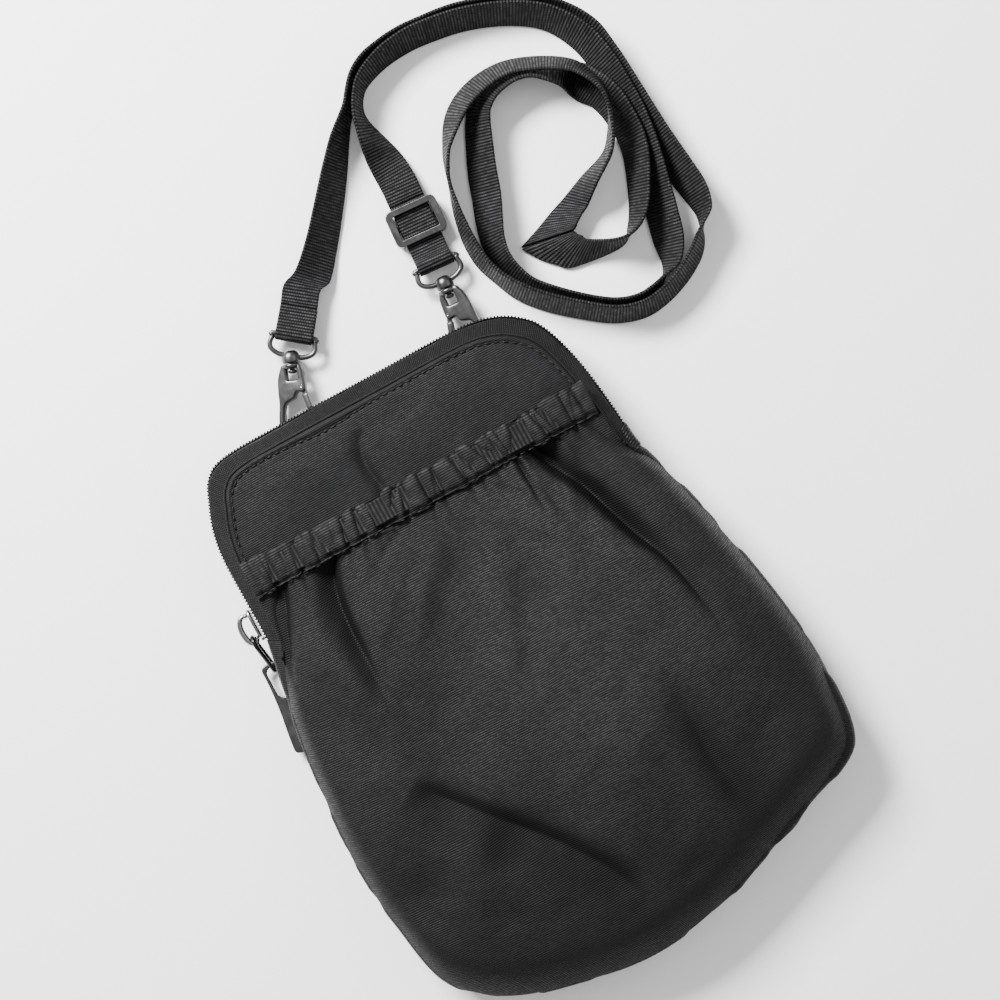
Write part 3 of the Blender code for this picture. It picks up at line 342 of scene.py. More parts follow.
def wire(tree, source, target):
    if isinstance(source, (int, float)):
        target.default_value = source
    else:
        tree.links.new(source, target)


def sums(tree, operation, a, b=None, c=None, clamp=False):
    node = tree.nodes.new("ShaderNodeMath")
    node.operation = operation
    node.use_clamp = clamp
    for socket, value in zip(node.inputs, (a, b, c)):
        if value is not None:
            wire(tree, value, socket)
    return node.outputs[0]


def spread(tree, value, low, high, outLow, outHigh):
    node = tree.nodes.new("ShaderNodeMapRange")
    wire(tree, value, node.inputs["Value"])
    for label, number in (("From Min", low), ("From Max", high), ("To Min", outLow), ("To Max", outHigh)):
        wire(tree, number, node.inputs[label])
    return node.outputs["Result"]


def colours(tree, factor, a, b):
    node = tree.nodes.new("ShaderNodeMix")
    node.data_type = "RGBA"
    wire(tree, factor, node.inputs["Factor"])
    for socket, value in ((node.inputs[6], a), (node.inputs[7], b)):
        if isinstance(value, tuple):
            socket.default_value = (*value, 1.0)
        else:
            tree.links.new(value, socket)
    return node.outputs[2]


def noise(tree, vector, scale, detail=2.0, rough=0.5):
    node = tree.nodes.new("ShaderNodeTexNoise")
    tree.links.new(vector, node.inputs["Vector"])
    node.inputs["Scale"].default_value = scale
    node.inputs["Detail"].default_value = detail
    node.inputs["Roughness"].default_value = rough
    return node.outputs["Fac"]


weaveLook = {
    "driftScale": 0.16, "driftReach": 40.0, "fineScale": 2.4, "fineShare": 0.22, "crestPower": 2.2,
    "darkThread": 0.45, "lightThread": 1.25, "tintScale": 0.05,
}


def makeThreadGroup():
    # woven threads: ribs run across Y, single threads along X, both in millimetres
    number = "NodeSocketFloat"
    tree, given, made = newGroup(
        "threadWeave",
        [("Vector", "NodeSocketVector", None), ("Rib Pitch", number, 0.8), ("Thread Pitch", number, 0.5),
         ("Twill Shift", number, 0.5), ("Rib Share", number, 0.6), ("Wander", number, 0.06)],
        [("Height", number), ("Crest", number), ("Tint", number)],
    )
    place, ribShare = given.outputs["Vector"], given.outputs["Rib Share"]
    split = tree.nodes.new("ShaderNodeSeparateXYZ")
    tree.links.new(place, split.inputs[0])
    drift = sums(tree, "SUBTRACT", noise(tree, place, weaveLook["driftScale"], 3.0), 0.5)
    wander = sums(tree, "MULTIPLY", drift, sums(tree, "MULTIPLY", given.outputs["Wander"], weaveLook["driftReach"]))
    row = sums(tree, "DIVIDE", sums(tree, "ADD", split.outputs["Y"], wander), given.outputs["Rib Pitch"])
    rowIndex = sums(tree, "FLOOR", row)
    ribWave = sums(tree, "SINE", sums(tree, "MULTIPLY", sums(tree, "FRACT", row), math.pi))
    twill = sums(tree, "MULTIPLY", rowIndex, given.outputs["Twill Shift"])
    column = sums(tree, "ADD", sums(tree, "DIVIDE", split.outputs["X"], given.outputs["Thread Pitch"]), twill)
    threadWave = sums(tree, "SINE", sums(tree, "MULTIPLY", sums(tree, "FRACT", column), math.pi))
    fine = noise(tree, place, weaveLook["fineScale"], 3.0, 0.6)
    ribPart = sums(tree, "MULTIPLY", ribWave, ribShare)
    bothWaves = sums(tree, "MULTIPLY", threadWave, ribWave)
    threadPart = sums(tree, "MULTIPLY", bothWaves, sums(tree, "SUBTRACT", 1.0, ribShare))
    crest = sums(tree, "ADD", ribPart, threadPart)
    # each thread is a little lighter or darker than the next
    spot = tree.nodes.new("ShaderNodeCombineXYZ")
    tree.links.new(sums(tree, "FLOOR", sums(tree, "MULTIPLY", column, 0.5)), spot.inputs[0])
    tree.links.new(rowIndex, spot.inputs[1])
    chance = tree.nodes.new("ShaderNodeTexWhiteNoise")
    chance.noise_dimensions = "2D"
    tree.links.new(spot.outputs[0], chance.inputs["Vector"])
    threadShade = spread(tree, chance.outputs["Value"], 0.0, 1.0, weaveLook["darkThread"], weaveLook["lightThread"])
    height = sums(tree, "ADD", crest, sums(tree, "MULTIPLY", fine, weaveLook["fineShare"]))
    # painted highlight: the sharpened crest, times each thread's own tone, is the share of light colour on raised
    # ribs and threads
    sharp = sums(tree, "POWER", crest, weaveLook["crestPower"], clamp=True)
    tree.links.new(height, made.inputs["Height"])
    tree.links.new(sums(tree, "MULTIPLY", sharp, threadShade), made.inputs["Crest"])
    tree.links.new(noise(tree, place, weaveLook["tintScale"], 4.0, 0.62), made.inputs["Tint"])
    return tree


metalLook = {
    "grain": 900.0, "grainStretch": (1.0, 0.22, 1.0), "cloud": 160.0, "roughSpread": 0.22,
    "bump": (0.12, 0.00005),
}


def makeMetalGroup():
    # plated metal: soft grain, hair scratches and worn places
    number, colour = "NodeSocketFloat", "NodeSocketColor"
    tree, given, made = newGroup(
        "platedWear",
        [("Vector", "NodeSocketVector", None), ("Base Colour", colour, (0.5, 0.5, 0.5, 1.0)),
         ("Worn Colour", colour, (0.7, 0.7, 0.7, 1.0)),
         ("Roughness", number, 0.3), ("Wear", number, 0.4), ("Grain Scale", number, 900.0)],
        [("Colour", colour), ("Roughness", number), ("Height", number)],
    )
    stretch = tree.nodes.new("ShaderNodeVectorMath")
    stretch.operation = "MULTIPLY"
    tree.links.new(given.outputs["Vector"], stretch.inputs[0])
    stretch.inputs[1].default_value = metalLook["grainStretch"]
    grain = tree.nodes.new("ShaderNodeTexNoise")
    tree.links.new(stretch.outputs[0], grain.inputs["Vector"])
    tree.links.new(given.outputs["Grain Scale"], grain.inputs["Scale"])
    grain.inputs["Detail"].default_value = 4.0
    cloud = noise(tree, given.outputs["Vector"], metalLook["cloud"], 4.0, 0.6)
    worn = sums(tree, "MULTIPLY", spread(tree, cloud, 0.45, 0.7, 0.0, 1.0), given.outputs["Wear"], clamp=True)
    tree.links.new(colours(tree, worn, given.outputs["Base Colour"], given.outputs["Worn Colour"]),
                   made.inputs["Colour"])
    uneven = sums(tree, "MULTIPLY", sums(tree, "SUBTRACT", grain.outputs["Fac"], 0.5), metalLook["roughSpread"])
    tree.links.new(sums(tree, "ADD", given.outputs["Roughness"], uneven, clamp=True), made.inputs["Roughness"])
    tree.links.new(grain.outputs["Fac"], made.inputs["Height"])
    return tree


threadGroup = makeThreadGroup()
metalGroup = makeMetalGroup()


def useGroup(tree, group, values, vector):
    node = tree.nodes.new("ShaderNodeGroup")
    node.node_tree = group
    tree.links.new(vector, node.inputs["Vector"])
    for label, value in values.items():
        node.inputs[label].default_value = value
    return node


def blank(name):
    made = bpy.data.materials.new(name)
    made.use_nodes = True
    tree = made.node_tree
    return made, tree, tree.nodes["Principled BSDF"]


def addBump(tree, shader, height, bump):
    # bump is (strength, distance in metres)
    node = tree.nodes.new("ShaderNodeBump")
    node.inputs["Strength"].default_value = bump[0]
    node.inputs["Distance"].default_value = bump[1]
    tree.links.new(height, node.inputs["Height"])
    tree.links.new(node.outputs["Normal"], shader.inputs["Normal"])


clothLook = {"specular": 0.14, "tintFrom": 0.35, "tintTo": 0.68, "tintShare": 0.4}


def weaveOf(ribPitch, threadPitch, twillShift, ribShare, wander):
    # pitches in millimetres, the rest as shares
    return {"Rib Pitch": ribPitch, "Thread Pitch": threadPitch, "Twill Shift": twillShift,
            "Rib Share": ribShare, "Wander": wander}


def cloth(name, dark, light, weave, rough=(0.40, 0.72), bump=(0.8, 0.00022), fromCloth=True):
    # fromCloth lays the weave along the cloth, otherwise it follows the object's own axes
    made, tree, shader = blank(name)
    if fromCloth:
        source = tree.nodes.new("ShaderNodeAttribute")
        source.attribute_name = "clothMm"
        vector = source.outputs["Vector"]
    else:
        source = tree.nodes.new("ShaderNodeTexCoord")
        scale = tree.nodes.new("ShaderNodeVectorMath")
        scale.operation = "SCALE"
        scale.inputs["Scale"].default_value = 1000.0
        tree.links.new(source.outputs["Object"], scale.inputs[0])
        vector = scale.outputs[0]
    threads = useGroup(tree, threadGroup, weave, vector)
    # painted shade: the clothShadow attribute takes away part of the light crest colour
    shade = tree.nodes.new("ShaderNodeAttribute")
    shade.attribute_name = "clothShadow"
    lit = sums(tree, "MULTIPLY", threads.outputs["Crest"], sums(tree, "SUBTRACT", 1.0, shade.outputs["Fac"]))
    tint = spread(tree, threads.outputs["Tint"], clothLook["tintFrom"], clothLook["tintTo"], 0.0,
                  clothLook["tintShare"])
    # the crests take the light colour as a painted highlight, less where painted shade lies; the tint noise darkens
    # at random
    tree.links.new(colours(tree, tint, colours(tree, lit, dark, light), dark), shader.inputs["Base Color"])
    tree.links.new(spread(tree, threads.outputs["Crest"], 0.0, 1.0, rough[1], rough[0]), shader.inputs["Roughness"])
    shader.inputs["Specular IOR Level"].default_value = clothLook["specular"]
    addBump(tree, shader, threads.outputs["Height"], bump)
    return made


def metal(name, base, worn, rough, wear):
    made, tree, shader = blank(name)
    source = tree.nodes.new("ShaderNodeTexCoord")
    values = {"Base Colour": (*base, 1.0), "Worn Colour": (*worn, 1.0), "Roughness": rough, "Wear": wear,
              "Grain Scale": metalLook["grain"]}
    plated = useGroup(tree, metalGroup, values, source.outputs["Object"])
    tree.links.new(plated.outputs["Colour"], shader.inputs["Base Color"])
    tree.links.new(plated.outputs["Roughness"], shader.inputs["Roughness"])
    shader.inputs["Metallic"].default_value = 1.0
    addBump(tree, shader, plated.outputs["Height"], metalLook["bump"])
    return made


# name, dark threads, light threads and painted highlight on the crests, weave
ribbedNylon = cloth("ribbedNylon", (0.0014, 0.0014, 0.0015), (0.031, 0.031, 0.033),
                    weaveOf(0.72, 0.55, 0.5, 0.58, 0.008), bump=(0.8, 0.00024))
fineNylon = cloth("fineNylon", (0.0012, 0.0012, 0.0013), (0.016, 0.016, 0.0175),
                  weaveOf(0.70, 0.55, 0.34, 0.5, 0.008), bump=(0.8, 0.00020))
casingNylon = cloth("casingNylon", (0.0012, 0.0012, 0.0013), (0.028, 0.028, 0.030),
                    weaveOf(0.78, 0.6, 0.4, 0.5, 0.012), bump=(0.8, 0.00020))
twillTape = cloth("twillTape", (0.0008, 0.0008, 0.0009), (0.013, 0.013, 0.0145),
                  weaveOf(0.66, 0.95, 0.30, 0.3, 0.01), bump=(1.0, 0.00026))
grosgrain = cloth("grosgrain", (0.0007, 0.0007, 0.0008), (0.030, 0.030, 0.032),
                  weaveOf(1.05, 0.85, 0.5, 0.70, 0.0), rough=(0.36, 0.8), bump=(0.9, 0.00034))
liningCloth = cloth("liningCloth", (0.003, 0.003, 0.0033), (0.014, 0.014, 0.015),
                    weaveOf(0.4, 0.4, 0.5, 0.5, 0.02), rough=(0.45, 0.65), bump=(0.5, 0.0001))
elasticWeave = cloth("elasticWeave", (0.003, 0.003, 0.0033), (0.016, 0.016, 0.017),
                     weaveOf(1.4, 0.5, 0.5, 0.7, 0.0), bump=(0.8, 0.0003))
threadBlack = cloth("threadBlack", (0.003, 0.003, 0.0033), (0.026, 0.026, 0.028),
                    weaveOf(0.22, 0.3, 0.4, 0.7, 0.0), rough=(0.3, 0.5), bump=(0.5, 0.00006), fromCloth=False)
coilPlastic = cloth("coilPlastic", (0.002, 0.002, 0.0022), (0.008, 0.008, 0.0085),
                    weaveOf(0.3, 0.3, 0.5, 0.5, 0.0), rough=(0.25, 0.35), bump=(0.1, 0.00003), fromCloth=False)
# name, colour, colour where worn, roughness, wear
gunmetal = metal("gunmetal", (0.070, 0.070, 0.0715), (0.15, 0.15, 0.15), 0.33, 0.5)
brightNickel = metal("brightNickel", (0.20, 0.20, 0.203), (0.38, 0.38, 0.38), 0.24, 0.5)
darkPlate = metal("darkPlate", (0.022, 0.022, 0.024), (0.07, 0.07, 0.073), 0.28, 0.4)
print("stage: materials made")

# strap; the routes are rows of (x, y, lean in degrees, lift) in millimetres
strapSize = {
    "width": 12.7, "thickness": 1.1, "step": 1.4, "skim": 0.05, "tipFoot": 0.6, "tipTop": 6.0,
    "stubLength": 9.906, "stubGap": 0.9, "stubTuck": 0.87, "stubHeight": 0.4, "loopHeight": -1.1,
    "loopFrom": 23.1, "loopTo": 29.1,
}
leftRoute = [
    (-1.5, 146.8, -74, 1.6), (6, 154.5, -54, 0), (13.5, 163.5, -46, 0),
    (21, 173, -38, 0), (28, 182, -25, 0), (32.5, 187, -14, 0), (36, 190.5, -10, 0), (39, 194.5, -9, 0),
    (42, 198, -9, 0), (45.5, 200.5, -10, 0), (49.5, 202, -13, 0), (54, 202.5, -18, 0), (61, 203, -22, 0),
    (69, 202.5, -25, 0), (84, 200.5, -25, 0), (99.5, 194.5, -26, 0), (111.5, 187, -30, 0), (119, 176, -36, 0),
    (121, 164.5, -39, 0), (122, 149.5, -41, 0), (123, 133, -43, 0), (124.5, 119.5, -42, 0), (125.5, 110.5, -36, 0),
    (125, 103.5, -20, 0), (122.5, 99.5, 0, 0), (119.5, 95.5, 16, 0), (115.5, 91.5, 22, 0), (108, 87, 22, 0),
    (99, 84, 22, 0), (91, 83.5, 22, 0), (82, 86.5, 21, 0), (72.5, 93.5, 22, 0), (64, 101, 22, 0),
    (57.5, 108.5, 20, 0), (53.5, 116, 14, 0), (51, 123.5, 16, 0), (50.5, 131, 16, 0), (51, 137.5, 12, 0),
    (52, 144, 7, 0), (54, 152, 0, 0), (56.5, 158.5, 6, 0), (59, 163, 12, 0), (65, 170, 29, 0),
    (71.5, 174.5, 34, 0), (80, 177, 34, 0.3), (89.5, 177, 31, 0.3), (100, 173, 30, 0.8), (108.5, 167, 27, 3.6),
    (112, 160.5, 20, 6.2), (113.5, 154.5, 13, 6.6), (113, 149, 6, 5), (110, 141.5, -4, 2.2), (105.5, 135.5, -12, 0.3),
    (96, 130.5, -28, 0),
]
rightRoute = [
    (95, 107, -8, 0), (101.5, 109.5, 14, 0), (106.5, 115, 26, 0), (110.5, 122.5, 32, 0), (114, 130.5, 38, 0),
    (115.5, 137.5, 41, 0), (115.5, 144.5, 44, 0), (115, 150, 49, 0), (113.5, 155, 54, 0), (111, 159, 68, 0),
    (109, 163, 100, 0), (105, 166.5, 130, 0), (100, 169.5, 148, 0), (95.5, 172, 156, 0), (89.5, 173.5, 156, 0),
    (82, 173, 150, 0), (76, 170.5, 142, 0), (72.5, 166, 140, 0), (69, 158.5, 135, 0), (65.5, 150, 131, 0),
    (63, 142.5, 130, 0), (60, 135, 135, 0), (57.5, 127, 144, 0), (57.5, 119, 154, 0), (60.5, 110, 158, 0),
    (66, 103, 158, 0), (74.5, 95, 158, 0), (83, 89, 160, 0), (91, 86.5, 162, 0), (98, 87.5, 168, 0),
    (103, 90, 180, 0), (107, 93, 204, 0), (110, 100, 228, 0), (112.5, 109.5, 232, 0), (115, 119, 226, 0),
    (117, 127, 222, 0), (118.5, 135, 221, 0), (119.5, 144.5, 221, 0), (119.5, 153.5, 220, 0), (119, 163.5, 219, 0),
    (116.5, 174.5, 216, 0), (109.5, 185.5, 209, 0), (98.5, 193, 206, 0), (84, 198.5, 205, 0), (69, 201, 205, 0),
    (60.5, 201, 203, 0), (54, 200, 200, 0), (48, 198, 196, 0), (43.5, 195.5, 192, 0), (40.5, 192, 190, 0),
    (38.5, 188, 193, 0), (37.8, 183.5, 202, 0), (38, 177, 222, 0), (38.4, 171, 244, 0), (38.8, 165.5, 262, 1.4),
]
# the folded tip: lower edge on the floor and upper edge raised, pair by pair
leftTip = [
    ((85.6, 129.6), (91.5, 123.2)), ((79.3, 127.3), (88.7, 121.7)), ((73.4, 124.9), (86.0, 119.9)),
    ((68.5, 123.1), (84.4, 118.6)), ((65.3, 121.9), (83.3, 118.1)),
]
rightTip = [
    ((65.1, 121.4), (83.2, 117.8)), ((67.2, 117.8), (83.6, 117.2)), ((69.6, 114.4), (83.9, 116.3)),
    ((73.1, 110.9), (85.1, 114.9)), ((77.7, 107.5), (86.3, 113.0)),
]
# the straight bars of the two swivel eyes, which the webbing goes round
barLeft = {"place": (-16.637, 131.912, 4.6), "along": (0.61566, 0.78801, 0.0)}
barRight = {"place": (36.92, 130.783, 4.6), "along": (0.06802, 0.99768, 0.0)}


def barMatrix(bar, scale=1.0):
    along = Vector(bar["along"]).normalized()
    up = Vector((0.0, 0.0, 1.0))
    across = along.cross(up)
    made = Matrix.Identity(4)
    for i in range(3):
        made[i][0], made[i][1], made[i][2], made[i][3] = across[i], along[i], up[i], bar["place"][i] * scale
    return made


def ribsFromRoute(rows):
    # centre and half width vector at each row, in millimetres
    found = []
    heading = unit(np.gradient(np.array([row[:2] for row in rows], float), axis=0))
    half = strapSize["width"] / 2
    for (x, y, lean, lift), (hx, hy) in zip(rows, heading):
        sine, cosine = math.sin(math.radians(lean)), math.cos(math.radians(lean))
        rest = half * abs(cosine) + strapSize["thickness"] / 2 * abs(sine) + strapSize["skim"]
        found.append((x, y, rest + lift, half * sine * hy, -half * sine * hx, half * cosine))
    return found


def ribsFromTip(pairs):
    found = []
    for low, high in pairs:
        low, high = np.array((*low, strapSize["tipFoot"])), np.array((*high, strapSize["tipTop"]))
        found.append((*((low + high) / 2), *((high - low) / 2)))
    return found


def ribAt(bar, along, height, lean):
    x, y, z = barMatrix(bar) @ Vector((0.0, along, height))
    sign = 1.0 if lean < 0 else -1.0
    hx, hy = sign * bar["along"][0], sign * bar["along"][1]
    angle = math.radians(lean)
    half = strapSize["width"] / 2
    return (x, y, z, half * math.sin(angle) * hy, -half * math.sin(angle) * hx, half * math.cos(angle))


# section of the webbing as shares of half width and half thickness: flat faces with rounded selvedges
upperSection = [
    (-1.0, 0.0), (-0.985, 0.72), (-0.93, 1.08), (-0.86, 0.96), (-0.5, 1.0),
    (0.0, 1.0), (0.5, 1.0), (0.86, 0.96), (0.93, 1.08), (0.985, 0.72),
]
webbingSection = upperSection + [(-a, -b) for a, b in upperSection]


def strapMesh(name, ribs, material, step=strapSize["step"], thickness=strapSize["thickness"]):
    line = resampled(smoothLine(ribs, 10), step)
    centre, half = line[:, :3], line[:, 3:6]
    tangent = unit(np.gradient(centre, axis=0))
    across = unit(half)
    normal = unit(np.cross(tangent, across))
    reach = np.linalg.norm(half, axis=1)
    run = runAlong(centre)
    points, coordinates = [], []
    for i in range(len(centre)):
        for a, b in webbingSection:
            points.append((centre[i] + across[i] * reach[i] * a + normal[i] * thickness / 2 * b) * mm)
            coordinates.append((a * reach[i], run[i], b))
    item = addMesh(name, points, tubeFaces(len(centre), len(webbingSection)), material)
    clothCoordinates(item, coordinates)
    return item, centre * mm


leftStart = strapSize["stubLength"] + strapSize["stubGap"]
leftRibs = [
    ribAt(barLeft, leftStart - strapSize["stubTuck"], strapSize["stubHeight"], -90.0),
    ribAt(barLeft, leftStart + 0.45 * strapSize["width"], strapSize["stubHeight"], -88.0),
]
leftRibs += ribsFromRoute(leftRoute) + ribsFromTip(leftTip)
rightRibs = ribsFromTip(rightTip) + ribsFromRoute(rightRoute)
rightRibs += [ribAt(barRight, strapSize[end], strapSize["loopHeight"], 270.0) for end in ("loopTo", "loopFrom")]
strapLeft, leftPath = strapMesh("strapLeft", leftRibs, grosgrain)
strapRight, rightPath = strapMesh("strapRight", rightRibs, grosgrain)
for piece, node, path in ((strapLeft, "strap_left", leftPath), (strapRight, "strap_right", rightPath)):
    settle(piece, "pouch", node)
    length = float(runAlong(path)[-1])
    ends = [tuple(float(v) for v in p) for p in (path if piece is strapLeft else path[::-1])]
    print(piece.name, "length", round(length * 1000, 1), "mm")
print("stage: strap made")

# pouch body, in millimetres
pouch = {
    "halfWidth": 84.4, "halfHeight": 107.1, "depth": 19.2, "seamInset": 6.0, "topOverhang": 23.0, "panel": 1.2,
    "cloth": 1.0, "gap": 0.3, "zipShare": 0.61, "coilOffset": 1.25, "coilEdge": 2.3,
}
zipEdgeShares = [
    (-0.858, 0.430), (-0.858, 0.580), (-0.858, 0.711), (-0.841, 0.806), (-0.804, 0.888), (-0.757, 0.958),
    (-0.664, 0.993), (-0.400, 0.999), (0.000, 0.999), (0.360, 0.999), (0.520, 0.981), (0.626, 0.936),
    (0.692, 0.872), (0.745, 0.742), (0.776, 0.586), (0.796, 0.430),
]
gussetEdgeShares = [
    (0.824, 0.367), (0.895, 0.180), (0.975, -0.101), (1.022, -0.351), (1.029, -0.540), (1.008, -0.680),
    (0.934, -0.756), (0.697, -0.835), (0.301, -0.950), (-0.096, -1.002), (-0.492, -0.955), (-0.729, -0.885),
    (-0.888, -0.756), (-0.947, -0.538), (-0.968, -0.413), (-0.971, -0.226), (-0.935, 0.086), (-0.885, 0.300),
]
profileShares = [
    (0.0, 1.0, 1.0), (0.18, 0.42, 0.976), (0.38, 0.05, 0.88), (0.475, 0.0, 0.0), (0.74, 0.0, 0.0),
    (0.86, 0.14, 0.05), (1.0, 1.0, 0.261),
]
edgePoints = [(x * pouch["halfWidth"], y * pouch["halfHeight"]) for x, y in zipEdgeShares + gussetEdgeShares]
outline = smoothLine([edgePoints[-1]] + edgePoints + edgePoints[:2], 8)[8:-8]
outlineRun = runAlong(outline)
zipRun = outlineRun[8 * (len(zipEdgeShares) - 1)]
wholeRun = outlineRun[-1]
backZ = pouch["panel"] + pouch["gap"]
seamZ = backZ + pouch["depth"]
frontZ = seamZ + pouch["gap"]
pocketZ = frontZ + pouch["panel"] + pouch["gap"]
zipZ = backZ + pouch["zipShare"] * pouch["depth"]


def edgeAt(runs, side, top):
    # points at runs along the outline, drawn in by side below its middle and by top above it
    runs = np.mod(np.asarray(runs, float), wholeRun)
    x = np.interp(runs, outlineRun, outline[:, 0])
    y = np.interp(runs, outlineRun, outline[:, 1])
    inset = np.where(y > 0, top, side)
    return x * (1 - np.asarray(side) / pouch["halfWidth"]), y * (1 - inset / pouch["halfHeight"])


def insetAt(z):
    # how far the gusset is drawn in at a height, at the sides and over the top
    share = (np.asarray(z, float) - backZ) / pouch["depth"]
    steps, sideShares, topShares = zip(*profileShares)
    side = np.interp(share, steps, sideShares) * pouch["seamInset"]
    return side, np.interp(share, steps, topShares) * pouch["topOverhang"]


gusset = {
    "middleY": 10.0, "drawReach": 2.2, "edgeFade": 2.0, "endFade": 4.0, "broadLump": 9.0, "fineLump": 3.5,
    "fineShare": 0.4, "most": 0.25, "thickness": 0.8,
}


def clothBand(name, runs, heights, material, lumps, seed, drawIn):
    # upright cloth between two heights of the outline; drawIn is the height that is pulled in, and how far
    rows, coordinates = [], []
    for z in heights:
        side, top = insetAt(z)
        level = np.full(len(runs), z)
        if drawIn:
            draw = drawIn[1] * max(0.0, 1.0 - abs(z - drawIn[0]) / gusset["drawReach"])
            side, top = side + draw, top + draw
        x, y = edgeAt(runs, side, top)
        away = unit(np.stack([x, y - gusset["middleY"]], axis=1))
        edgeFade = within(min(z - heights[0], heights[-1] - z) / gusset["edgeFade"])
        endFade = within(np.minimum(runs - runs[0], runs[-1] - runs) / gusset["endFade"])
        bulge = gridNoise(runs, level, gusset["broadLump"], seed)
        bulge = bulge + gusset["fineShare"] * gridNoise(runs, level, gusset["fineLump"], seed + 1)
        bulge = np.minimum(lumps * edgeFade * bulge, gusset["most"]) * endFade
        rows.append(np.stack([x + away[:, 0] * bulge, y + away[:, 1] * bulge, level], axis=1))
        coordinates.append(np.stack([np.full(len(runs), z + (top + side) / 2), runs, np.zeros(len(runs))], axis=1))
    item = addMesh(name, np.concatenate(rows) * mm, gridFaces(len(rows), len(runs)), material)
    clothCoordinates(item, np.concatenate(coordinates))
    return item


def thicken(item, thickness):
    work = item.modifiers.new("clothThickness", "SOLIDIFY")
    work.thickness = thickness * mm
    work.offset = -1.0


def faceAway(item, direction):
    # turn the faces so that their fronts look the way that direction gives at each place
    total = sum(polygon.area * direction(polygon.center).dot(polygon.normal) for polygon in item.data.polygons)
    if total < 0:
        work = bmesh.new()
        work.from_mesh(item.data)
        bmesh.ops.reverse_faces(work, faces=work.faces)
        work.to_mesh(item.data)
        work.free()


def outwards(p):
    return Vector((p.x, p.y - gusset["middleY"] * mm, 0.0))


def upwards(p):
    return Vector((0.0, 0.0, 1.0))


def downwards(p):
    return Vector((0.0, 0.0, -1.0))


zipRuns = np.linspace(0.0, zipRun, 420)
sideRuns = np.linspace(zipRun, wholeRun, 520)
zipRear, zipFront = zipZ - pouch["coilEdge"], zipZ + pouch["coilEdge"]
frontHeights = np.concatenate([[zipFront], np.linspace(zipFront + 0.4, seamZ - 0.5, 14), [seamZ + 0.1]])
rearHeights = np.linspace(backZ + 0.1, zipRear, 14)
sideHeights = np.linspace(backZ + 0.1, seamZ + 0.1, 30)
for name, node, runs, heights, material, lumps, seed, drawIn in (
        ("zipTapeFront", "zip_tape", zipRuns, frontHeights, twillTape, 0.35, 3, (zipFront, 0.9)),
        ("zipGussetRear", "zip_gusset", zipRuns, rearHeights, twillTape, 0.4, 5, (zipRear, 0.6)),
        ("gussetSide", "side_gusset", sideRuns, sideHeights, fineNylon, 1.1, 7, None)):
    piece = clothBand(name, runs, heights, material, lumps, seed, drawIn)
    faceAway(piece, outwards)
    thicken(piece, gusset["thickness"])
    settle(piece, "pouch", node)

allRuns = np.linspace(0.0, wholeRun, 520, endpoint=False)


def discCloth(name, inset, topInset, rings, height, material, middle=(0.0, 5.0)):
    # flat cloth filled in from the outline towards its middle; height takes x, y and the distance to the edge
    x, y = edgeAt(allRuns, inset, topInset)
    rows, coordinates = [], []
    for share in rings:
        px, py = middle[0] + (x - middle[0]) * share, middle[1] + (y - middle[1]) * share
        rows.append(np.stack([px, py, height(px, py, np.hypot(x - px, y - py))], axis=1))
        coordinates.append(np.stack([px, py, np.zeros(len(px))], axis=1))
    faces = gridFaces(len(rows), len(allRuns), True) + [tuple(range(len(allRuns)))]
    item = addMesh(name, np.concatenate(rows) * mm, faces, material)
    clothCoordinates(item, np.concatenate(coordinates))
    return item


backPanel = {"level": 0.12, "edgeRise": 0.9, "edgeReach": 3.0, "lumps": 0.1, "lumpSize": 14.0, "thickness": 0.7}


def backHeight(x, y, edge):
    rise = backPanel["edgeRise"] * within(1 - edge / backPanel["edgeReach"]) ** 2
    return backPanel["level"] + rise + backPanel["lumps"] * (1 + gridNoise(x, y, backPanel["lumpSize"], 11))


backRings = np.concatenate([np.linspace(0.06, 0.94, 40), [0.965, 0.98, 0.992, 1.0]])
backCloth = discCloth("backCloth", pouch["seamInset"], pouch["topOverhang"], backRings, backHeight, fineNylon)
faceAway(backCloth, downwards)
thicken(backCloth, backPanel["thickness"])
settle(backCloth, "pouch", "back_panel")

# front panel with a soft crease, its edge rolled at the seam
frontPanel = {
    "roll": 1.1, "rollReach": 1.6, "puff": 1.17, "puffReach": 14.0, "ridge": 0.3, "ridgeWidth": 0.9,
    "groove": 0.55, "grooveWidth": 0.8, "creaseDepth": 1.9, "creaseWidths": (1.5, 2.3),
    "lumps": ((0.16, 7.0, 21), (0.09, 3.0, 22)), "lumpFade": 3.0, "pocketFrom": 57.0, "pocketRoom": 0.15,
    "thickness": 0.9,
}
stitch = {
    "inset": 2.2, "pitch": 2.9, "length": 2.0, "radius": 0.24, "lowest": 48.0, "sag": 1.5, "sagX": -21.0,
    "sagWidth": 11.0,
}
creaseLine = [
    (-11.5, 93.0, 0.0), (-12.6, 90.0, 0.6), (-14.8, 85.0, 1.0), (-15.2, 79.0, 1.0),
    (-14.2, 73.0, 0.9), (-15.0, 67.0, 0.8), (-16.0, 55.0, 0.3),
]
# x, y, size, lift
windowPuffs = [
    (-45.0, 84.0, 13.0, 0.5), (24.0, 86.0, 16.0, 0.6), (44.0, 78.0, 9.0, 0.45), (-32.0, 75.0, 10.0, -0.3),
    (3.0, 80.0, 8.0, 0.3),
]


def stitchRow():
    # the topstitched line, which sags a little over the crease
    inset = pouch["seamInset"] + stitch["inset"]
    x, y = edgeAt(np.linspace(0.0, wholeRun, 1400, endpoint=False), inset, inset)
    sag = stitch["sag"] * bell(x - stitch["sagX"], stitch["sagWidth"]) * (y > 60)
    return np.stack([x, y - sag], axis=1)


stitchLine = stitchRow()


def nearStitch(x, y):
    # distance to the topstitched line, found on a coarse copy of it
    flatX, flatY = np.ravel(x), np.ravel(y)
    best = np.full(flatX.shape, 1e9)
    for px, py in stitchLine[::4]:
        best = np.minimum(best, (flatX - px) ** 2 + (flatY - py) ** 2)
    return np.sqrt(best).reshape(np.shape(x))


